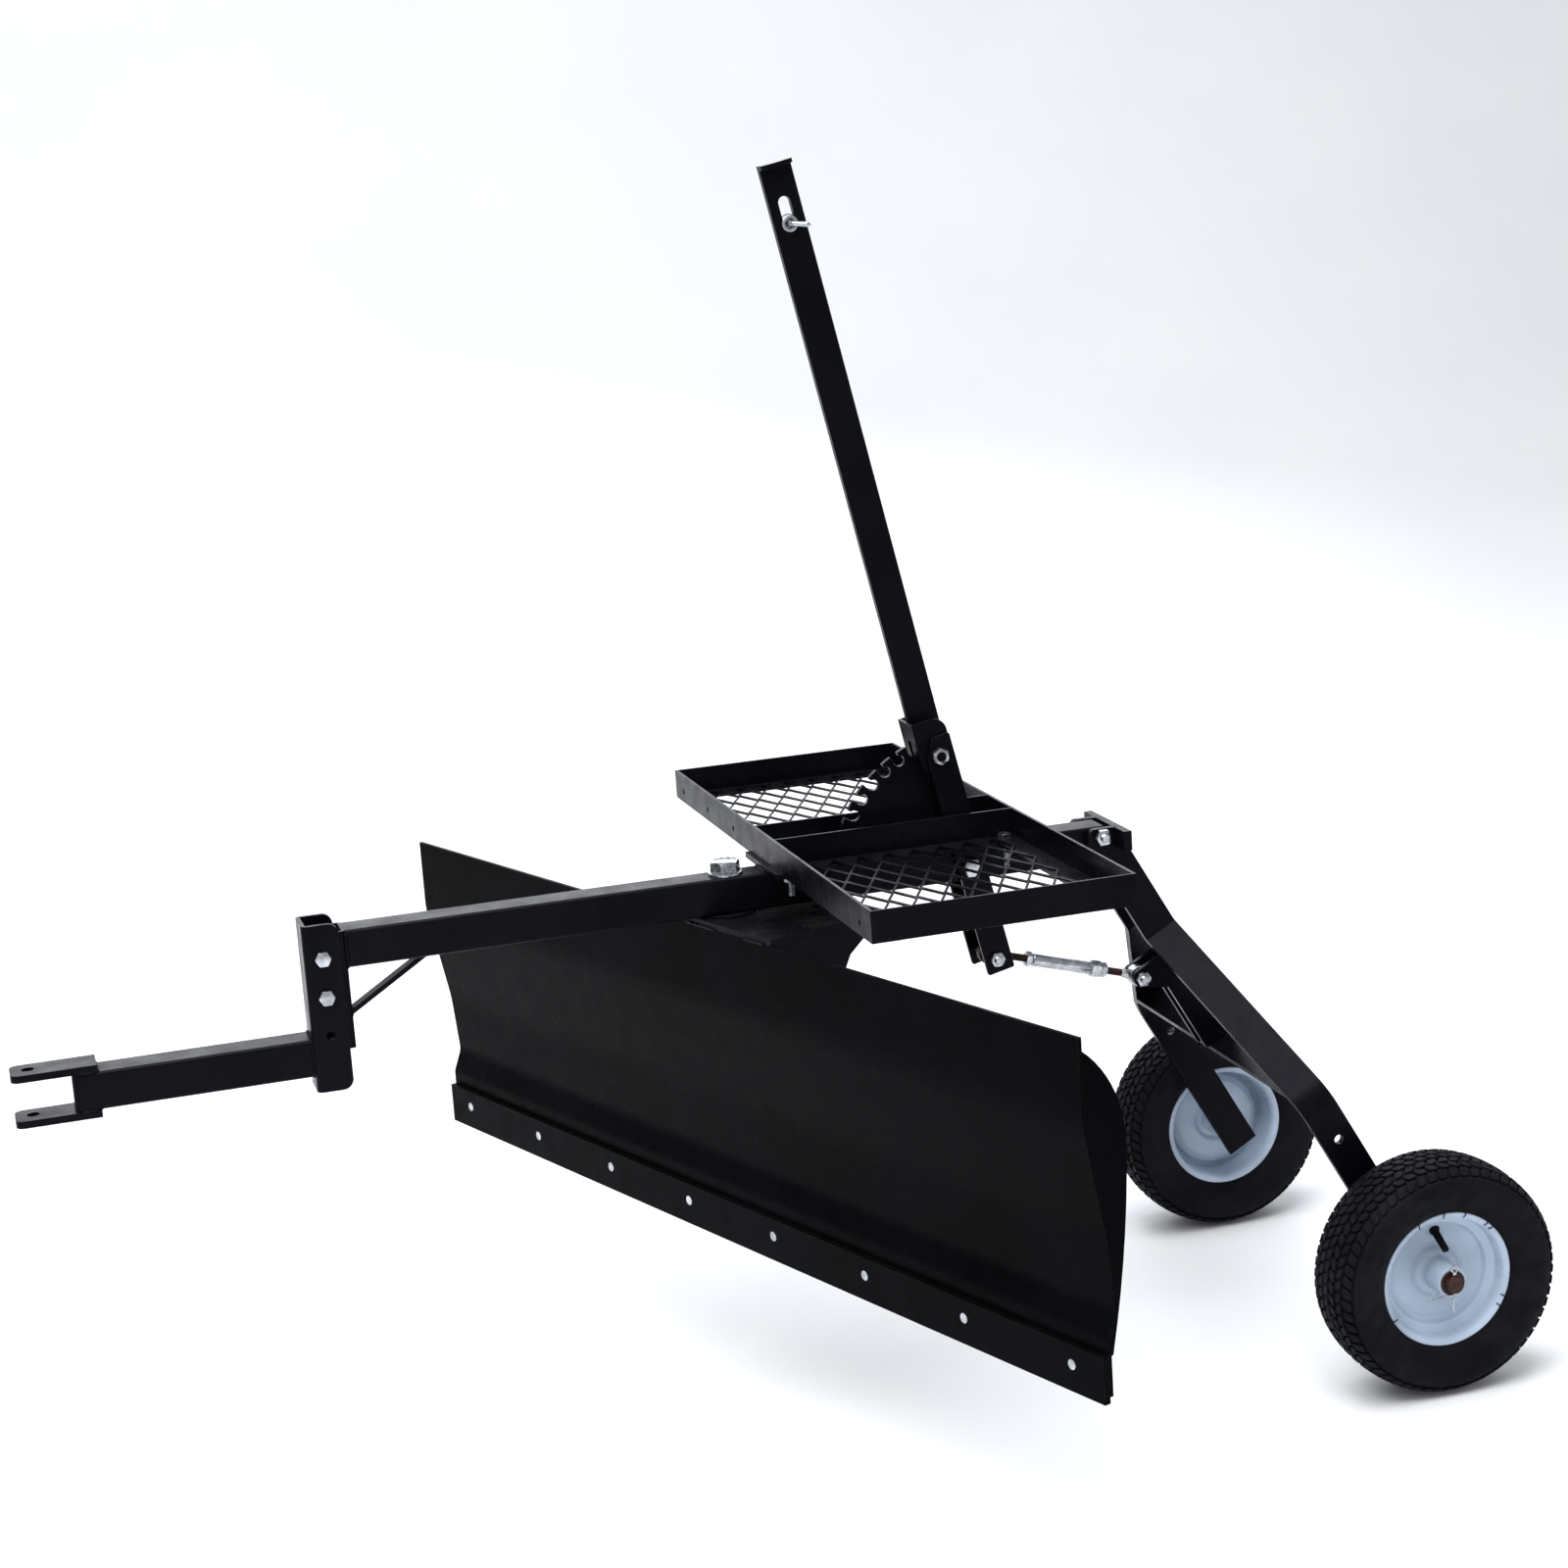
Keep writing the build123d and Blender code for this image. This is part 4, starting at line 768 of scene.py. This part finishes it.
def valve(node, outboard):
    """Snap-in rubber valve leaning towards the hub: bulged base, stem and ribbed cap."""
    low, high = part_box(node)
    lean = math.radians(29)
    base = 2.5 * MM
    inner_y = low.y + base if outboard > 0 else high.y - base
    root = Vector(((low.x + high.x) / 2, inner_y, high.z - 4.5 * MM))
    where = facing(root, (0, outboard * math.cos(lean), -math.sin(lean)))
    length = 37.5 * MM
    profile = [(0, -2), (7.6, -2), (8.2, 0.2), (7.0, 2.4), (5.4, 6), (5.2, 20), (4.7, 22.5), (0, 22.5)]
    bm = bmesh.new()
    lathe(bm, [(r * MM, y * MM) for r, y in profile], where, 32)
    cap_low = 22 * MM
    rings = [[where @ Vector((0, 0, cap_low))]]
    cap = ((cap_low, 4.0), (cap_low + 1 * MM, 4.6), (length - 1.2 * MM, 4.6), (length, 3.8))
    for along, radius in cap:
        ring = []
        for i, a in enumerate(turns(36)):
            r = (radius + (0.25 if i % 2 else -0.1)) * MM
            ring.append(where @ Vector((r * math.cos(a), r * math.sin(a), along)))
        rings.append(ring)
    rings.append([where @ Vector((0, 0, length))])
    skin(bm, rings)
    finish_piece("fine_" + node, bm, BODY_OF[node], SLOT_OF[node], [node])


def cotter_pins():
    """Split pins of round wire: an eye above the spindle, two legs bent apart below it."""
    bm = bmesh.new()
    wire = 1.25 * MM
    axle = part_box("left_rim")
    z = (axle[0].z + axle[1].z) / 2
    head = [(0, 26.4), (3.2, 25), (4.6, 21), (2.4, 17.5), (1.3, 14), (1.2, -13)]
    forward_leg = [(4, -15), (14, -14.5), (28, -15.5), (41, -18)]
    down_leg = [(0.5, -17), (3, -24), (3.5, -32), (2, -41)]
    for points in solids("cotter_pins"):
        low, high = box_of(points)
        x, y = (low.x + high.x) / 2, (low.y + high.y) / 2
        outward = 1 if y > 0 else -1
        for side, leg in ((1, forward_leg), (-1, down_leg)):
            path = [Vector((x + side * dx * MM, y, z + dz * MM)) for dx, dz in head]
            for i, (dx, dz) in enumerate(leg):
                path.append(Vector((x + dx * MM, y + outward * (i + 1) * 0.5 * MM, z + dz * MM)))
            line = catmull(path, 6)
            sweep(bm, line, [wire * (1 if i < len(line) - 3 else 0.75) for i in range(len(line))])
    finish_piece("fine_cotter_pins", bm, BODY_OF["cotter_pins"], SLOT_OF["cotter_pins"],
                 ["cotter_pins"])


def moulding_nibs(node, outboard):
    """Short whiskers of rubber left over the rim's lip by the mould's vents."""
    low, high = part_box(node)
    centre = (low + high) / 2
    bm = bmesh.new()
    for angle in (64, 88, 108, 131, 137, 205, 214, 331):
        a = math.radians(angle)
        across = Vector((math.cos(a), 0, math.sin(a)))
        twist = Vector((math.sin(a), 0, -math.cos(a))) * 1.5 * MM
        path = []
        for radius, out, turn in ((97, 36, 0), (94.5, 39.4, 0.3), (91, 39.2, 0.7), (87.5, 37.2, 1)):
            path.append(centre + across * radius * MM + Vector((0, outboard * out * MM, 0)) + twist * turn)
        sweep(bm, catmull(path, 4), [0.75 * MM] * 12 + [0.4 * MM], sides=6)
    finish_piece("nibs_" + node, bm, BODY_OF[node], SLOT_OF[node])


# ---------------------------------------------------------------- tray floors

def expanded_metal(node):
    """Slit and drawn sheet: a lattice of diamonds whose strands all tilt the same way.

    Each diamond hole has corners E, N, W and S, held as a top and a bottom point.
    """
    low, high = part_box(node)
    pitch_x, pitch_y = 38 * MM, 80 * MM
    hole_x, hole_y = pitch_x / 2 - 2.1 * MM, pitch_y / 2 - 5.0 * MM
    thick = 1.8 * MM
    tilt = 1.5 * MM
    base = low.z + tilt + 0.1 * MM
    bm = bmesh.new()
    corners = {}
    columns = int((high.x - low.x) / pitch_x * 2) + 6
    rows = int((high.y - low.y) / pitch_y * 2) + 6
    side = 1 if low.y > 0 else -1
    y_start = low.y if side > 0 else high.y
    for i in range(-2, columns):
        for j in range(-2, rows):
            if (i + j) % 2:
                continue
            x = low.x + i * pitch_x / 2
            y = y_start + side * j * pitch_y / 2
            for name, dx, dy in (("E", hole_x, 0), ("N", 0, hole_y * side), ("W", -hole_x, 0),
                                 ("S", 0, -hole_y * side)):
                z = base + tilt * dx / hole_x
                top = bm.verts.new((x + dx, y + dy, z + thick))
                bottom = bm.verts.new((x + dx, y + dy, z))
                corners[i, j, name] = (top, bottom)

    def plate(keys):
        if not all(key in corners for key in keys):
            return
        bm.faces.new([corners[key][0] for key in keys])
        bm.faces.new([corners[key][1] for key in reversed(keys)])

    for i in range(-2, columns):
        for j in range(-2, rows):
            if (i + j) % 2:
                plate([(i - 1, j, "E"), (i, j + 1, "S"), (i + 1, j, "W"), (i, j - 1, "N")])
                continue
            plate([(i, j, "E"), (i + 1, j + 1, "S"), (i + 1, j + 1, "W"), (i, j, "N")])
            plate([(i, j, "W"), (i - 1, j + 1, "S"), (i - 1, j + 1, "E"), (i, j, "N")])
            names = "ENWS"
            for a, b in zip(names, names[1:] + names[0]):
                first, second = corners[i, j, a], corners[i, j, b]
                bm.faces.new([first[0], second[0], second[1], first[1]])
    for point, normal in ((low, (-1, 0, 0)), (low, (0, -1, 0)), (high, (1, 0, 0)), (high, (0, 1, 0))):
        everything = bm.verts[:] + bm.edges[:] + bm.faces[:]
        bmesh.ops.bisect_plane(bm, geom=everything, plane_co=point, plane_no=normal, clear_outer=True)
        rim_edges = [e for e in bm.edges if e.is_boundary]
        bmesh.ops.holes_fill(bm, edges=rim_edges, sides=0)
    piece = finish_piece("fine_" + node, bm, BODY_OF[node], SLOT_OF[node], [node], sharp=25)
    soften(piece, 0.5 * MM)


# ---------------------------------------------------------------- turnbuckle

def turnbuckle():
    """Threaded rods with forged eyes, drawn together by a round sleeve with one hex end."""
    front = sum(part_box("link_front_bolt"), Vector()) / 2
    rear = sum(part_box("link_rear_bolt"), Vector()) / 2
    front.y = rear.y = 0
    line = rear - front
    length = line.length
    where = facing(front, line)
    body_low, body_high = 66 * MM, 174 * MM
    hex_low = body_high - 16 * MM
    rod = 5.5 * MM
    across = Vector((0, 1, 0))
    for name, eye, bore, rod_low, rod_high, slot in (
            ("turnbuckle_front_eye", 0.0, 6.05 * MM, 12 * MM, body_low + 20 * MM, "rod_steel"),
            ("turnbuckle_rear_eye", length, 9.5 * MM, body_high - 20 * MM, length - 12 * MM, "zinc_steel")):
        bm = bmesh.new()
        ring = [(bore, -8), (13.5, -8), (15, -6), (15, 6), (13.5, 8), (bore, 8)]
        ring = [(r if r == bore else r * MM, y * MM) for r, y in ring]
        centre = where @ Vector((0, 0, eye))
        lathe(bm, rounded(ring, 1.2 * MM, 3, closed=True), facing(centre, across), 48, closed=True)
        away = 1 if eye == 0 else -1
        neck = [where @ Vector((0, 0, eye + away * d * MM)) for d in (13, 17, 22, 26)]
        sweep(bm, neck, [7.0 * MM, 7.6 * MM, 6.6 * MM, 5.4 * MM], sides=20)
        finish_piece("fine_" + name, bm, "link", slot, [name])
        bm = bmesh.new()
        thread(bm, where, rod, rod_low, rod_high, 1.75 * MM)
        finish_piece("thread_" + name, bm, "link", "rod_steel")
    bm = bmesh.new()
    sleeve = [(rod + 0.2 * MM, body_low), (7.5 * MM, body_low), (9.5 * MM, body_low + 2.5 * MM),
              (9.5 * MM, hex_low + 1 * MM), (rod + 0.2 * MM, hex_low + 1 * MM)]
    lathe(bm, rounded(sleeve, 0.8 * MM, 2, closed=True), where, 40, closed=True)
    hexagon(bm, where, 21 * MM, hex_low, body_high, bore=rod + 0.4 * MM)
    finish_piece("fine_turnbuckle_body", bm, "link", "zinc_steel", ["turnbuckle_body"])
    bm = bmesh.new()
    for low in (body_low - 9 * MM, body_high + 0.2 * MM):
        hexagon(bm, where, 19 * MM, low, low + 8.6 * MM, bore=rod + 0.2 * MM)
    finish_piece("fine_jam_nuts", bm, "link", "zinc_steel", ["turnbuckle_jam_nuts"])


# ---------------------------------------------------------------- welds

def frame_welds():
    """Beads where the frame's pieces meet."""
    bm = bmesh.new()
    beam_low, beam_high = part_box("main_beam")
    post_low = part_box("hitch_post")[0]
    tongue_low, tongue_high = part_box("tongue_tube")
    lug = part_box("tongue_lugs")[0].x
    inset = 4 * MM
    for y in (beam_low.y, beam_high.y):
        weld(bm, (post_low.x, y, beam_low.z + inset), (post_low.x, y, beam_high.z - inset))
        weld(bm, (tongue_low.x, y, tongue_low.z + inset), (tongue_low.x, y, tongue_high.z - inset))
        weld(bm, (tongue_high.x, y, tongue_low.z + inset), (tongue_high.x, y, tongue_high.z - inset), 2 * MM)
    for z in (tongue_low.z, tongue_high.z):
        weld(bm, (tongue_low.x, tongue_low.y + inset, z), (tongue_low.x, tongue_high.y - inset, z))
        for y in (tongue_low.y, tongue_high.y):
            inner = y - math.copysign(1.2 * MM, y)
            weld(bm, (lug + inset, inner, z), (tongue_high.x - inset, inner, z), 2.2 * MM)
        weld(bm, (lug, tongue_low.y + inset, z), (lug, tongue_high.y - inset, z), 2.6 * MM)
    weld(bm, (post_low.x, beam_low.y + inset, beam_low.z), (post_low.x, beam_high.y - inset, beam_low.z))
    sector_low, sector_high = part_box("notch_sector")
    for y in (sector_low.y, sector_high.y):
        for start in (0.04, 0.42, 0.8):
            x = sector_low.x + (sector_high.x - sector_low.x) * start
            weld(bm, (x, y, beam_high.z), (x + 30 * MM, y, beam_high.z))
    brace_low, brace_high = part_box("beam_brace")
    weld(bm, (brace_low.x, brace_low.y, beam_low.z), (brace_low.x, brace_high.y, beam_low.z))
    weld(bm, (post_low.x, brace_low.y, brace_low.z), (post_low.x, brace_high.y, brace_low.z))
    for points in solids("tray_cross_bars"):
        low, high = box_of(points)
        for x in (low.x, high.x):
            weld(bm, (x, beam_low.y + inset, beam_high.z), (x, beam_high.y - inset, beam_high.z))
    tray_low, tray_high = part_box("tray_front_rail")
    back_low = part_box("tray_rear_rail")[0]
    inner_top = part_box("tray_inner_rails")[1].z
    wall = 4 * MM
    inner_rail = 45 * MM
    for y in (tray_low.y + wall, tray_high.y - wall, -inner_rail, inner_rail):
        for x in (tray_high.x - wall, back_low.x + wall):
            weld(bm, (x, y, tray_low.z + wall), (x, y, inner_top - 3 * MM), 2.4 * MM)
    finish_piece("frame_welds", bm, "frame", "black_paint", sharp=60)


def blade_welds():
    """Beads around the turntable and its gussets."""
    spin = Matrix.Translation((PIVOT.x, 0, 0)) @ Matrix.Rotation(BLADE_ANGLE, 4, "Z")
    plate_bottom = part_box("turntable_plate")[0].z
    sheet_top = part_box("moldboard")[1].z
    half = 165 * MM
    face = 50 * MM
    back = face - 6 * MM
    bm = bmesh.new()

    def bead(start, end):
        weld(bm, spin @ Vector(start), spin @ Vector(end))

    for start, end in ((-150, -104), (-30, 38), (104, 150)):
        bead((face, start * MM, plate_bottom), (face, end * MM, plate_bottom))
    for y in (-half + 6 * MM, half - 6 * MM):
        bead((-90 * MM, y, plate_bottom), (20 * MM, y, plate_bottom))
        bead((back, y, sheet_top - 12 * MM), (back, y, sheet_top - 90 * MM))
    finish_piece("blade_welds", bm, "blade", "black_paint", sharp=60)


def carriage_welds():
    """Beads on the wheel carriage, round the spindles and along the clevis lugs."""
    bm = bmesh.new()
    rim_low, rim_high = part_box("left_rim")
    axle_x, axle_z = (rim_low.x + rim_high.x) / 2, (rim_low.z + rim_high.z) / 2
    arm_face = 286 * MM
    for side in (-1, 1):
        weld_ring(bm, Vector((axle_x, side * arm_face, axle_z)), (0, 1, 0), 19 * MM, 2.2 * MM)
    bar_low, bar_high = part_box("arm_cross_bar")
    front = Vector((bar_high.x - 10 * MM, 0, bar_high.z - 3 * MM))
    back = Vector((bar_low.x + 6 * MM, 0, bar_low.z + 12 * MM))
    for points in solids("clevis_lugs"):
        low, high = box_of(points)
        for y in (low.y, high.y):
            across = Vector((0, y, 0))
            weld(bm, front.lerp(back, 0.1) + across, front.lerp(back, 0.75) + across, 2.2 * MM)
    finish_piece("carriage_welds", bm, "carriage", "black_paint", sharp=60)


# ---------------------------------------------------------------- CAD pieces that stay

def soften(piece, width):
    """Rounds a piece's outside edges and evens its shading."""
    edge = piece.modifiers.new("round_edges", "BEVEL")
    edge.width = width
    edge.segments = 2
    edge.limit_method = "ANGLE"
    edge.angle_limit = math.radians(28)
    edge.use_clamp_overlap = True
    even = piece.modifiers.new("even_shading", "WEIGHTED_NORMAL")
    even.weight = 80
    even.keep_sharp = True


EDGE_WIDTH = {"moldboard": 0.9, "cutting_edge": 1.0, "wheel_arms": 1.2, "handle_bar": 1.0,
              "lever_plates": 0.9, "hitch_bracket": 1.0, "tongue_lugs": 1.2, "spindles": 0.5,
              "main_beam": 0.8, "notch_sector": 0.8}


def dress_cad():
    """Gives each CAD node its material, and softens the edges of those still shown."""
    for name, piece in frame["nodes"].items():
        piece.data.materials.clear()
        piece.data.materials.append(MATERIALS[LOOK_OF[name]])
        if piece.hide_render:
            continue
        join = piece.modifiers.new("join_points", "WELD")
        join.merge_threshold = 0.00001
        flat = piece.modifiers.new("join_flats", "DECIMATE")
        flat.decimate_type = "DISSOLVE"
        flat.angle_limit = math.radians(0.3)
        soften(piece, EDGE_WIDTH.get(name, 0.6) * MM)


# ---------------------------------------------------------------- stage

MIDDLE = (cad_box[0] + cad_box[1]) / 2


def studio_floor():
    """Pale floor that sweeps up behind the object."""
    near, far, rise, bend, wide = 9.0, -5.5, 9.0, 3.0, 14.0
    line = [(near, 0.0)]
    for i in range(17):
        a = math.pi / 2 * i / 16
        line.append((far + bend - bend * math.sin(a), bend - bend * math.cos(a)))
    line.append((far, rise))
    bm = bmesh.new()
    rows = []
    for y, z in line:
        rows.append([bm.verts.new((MIDDLE.x + x, y, GROUND + z)) for x in (-wide, wide)])
    for a, b in zip(rows, rows[1:]):
        bm.faces.new([a[0], a[1], b[1], b[0]])
    for face in bm.faces:
        face.smooth = True
    mesh = bpy.data.meshes.new("studio_floor")
    bm.to_mesh(mesh)
    bm.free()
    mesh.materials.append(floor_paint("studio_floor"))
    floor = bpy.data.objects.new("studio_floor", mesh)
    bpy.context.scene.collection.objects.link(floor)


def softbox(name, offset, size, power, colour):
    """Rectangular lamp at an offset from the object's middle, facing it."""
    data = bpy.data.lights.new(name, "AREA")
    data.shape = "RECTANGLE"
    data.size, data.size_y = size
    data.energy = power
    data.color = colour
    lamp = bpy.data.objects.new(name, data)
    lamp.location = MIDDLE + Vector(offset)
    lamp.rotation_mode = "QUATERNION"
    lamp.rotation_quaternion = (MIDDLE - lamp.location).to_track_quat("-Z", "Y")
    bpy.context.scene.collection.objects.link(lamp)


def studio_light():
    """Soft lamps at the left front, overhead and behind, under a plain pale sky."""
    softbox("key", (2.4, 2.4, 3.2), (2.2, 2.2), 60, (1.0, 0.98, 0.96))
    softbox("top", (0.5, 0.9, 4.3), (4.4, 4.2), 330, (0.95, 0.97, 1.0))
    softbox("back", (-1.2, -3.8, 2.0), (5.0, 2.2), 90, (0.93, 0.96, 1.0))
    world = bpy.data.worlds.new("studio")
    bpy.context.scene.world = world
    world.use_nodes = True
    sky = world.node_tree.nodes["Background"]
    sky.inputs["Color"].default_value = (0.92, 0.95, 1.0, 1)
    sky.inputs["Strength"].default_value = 0.55


# Offset from the ground under the blade's pivot, metres.
CAMERA_FROM_PIVOT = Vector((0.9731, 3.7618, 1.7326))
CAMERA_YAW, CAMERA_PITCH, CAMERA_ROLL = (math.radians(a) for a in (15.80, 12.32, -3.96))


def camera():
    """Camera at the left front of the machine, slightly above it and rolled a little."""
    data = bpy.data.cameras.new("view")
    data.sensor_width = 36
    data.lens = 67.5
    data.clip_end = 60
    made = bpy.data.objects.new("view", data)
    bpy.context.scene.collection.objects.link(made)
    ahead = Vector((-math.sin(CAMERA_YAW) * math.cos(CAMERA_PITCH),
                    -math.cos(CAMERA_YAW) * math.cos(CAMERA_PITCH), -math.sin(CAMERA_PITCH)))
    level = Vector((-math.cos(CAMERA_YAW), math.sin(CAMERA_YAW), 0))
    above = level.cross(ahead)
    right = level * math.cos(CAMERA_ROLL) + above * math.sin(CAMERA_ROLL)
    up = above * math.cos(CAMERA_ROLL) - level * math.sin(CAMERA_ROLL)
    axes = Matrix((right, up, -ahead)).transposed().to_4x4()
    made.matrix_world = Matrix.Translation(Vector((PIVOT.x, 0, GROUND)) + CAMERA_FROM_PIVOT) @ axes
    bpy.context.scene.camera = made


fastener_nodes()
handle_bolt_buttons()
for side_name, outboard in (("left", 1), ("right", -1)):
    tyre(side_name + "_tyre")
    rim(side_name + "_rim", outboard)
    valve(side_name + "_valve", outboard)
    moulding_nibs(side_name + "_tyre", outboard)
    expanded_metal(side_name + "_floor_mesh")
handle_pin()
cotter_pins()
turnbuckle()
frame_welds()
blade_welds()
carriage_welds()
dress_cad()
studio_floor()
studio_light()
camera()
bpy.context.scene.view_settings.view_transform = "Standard"
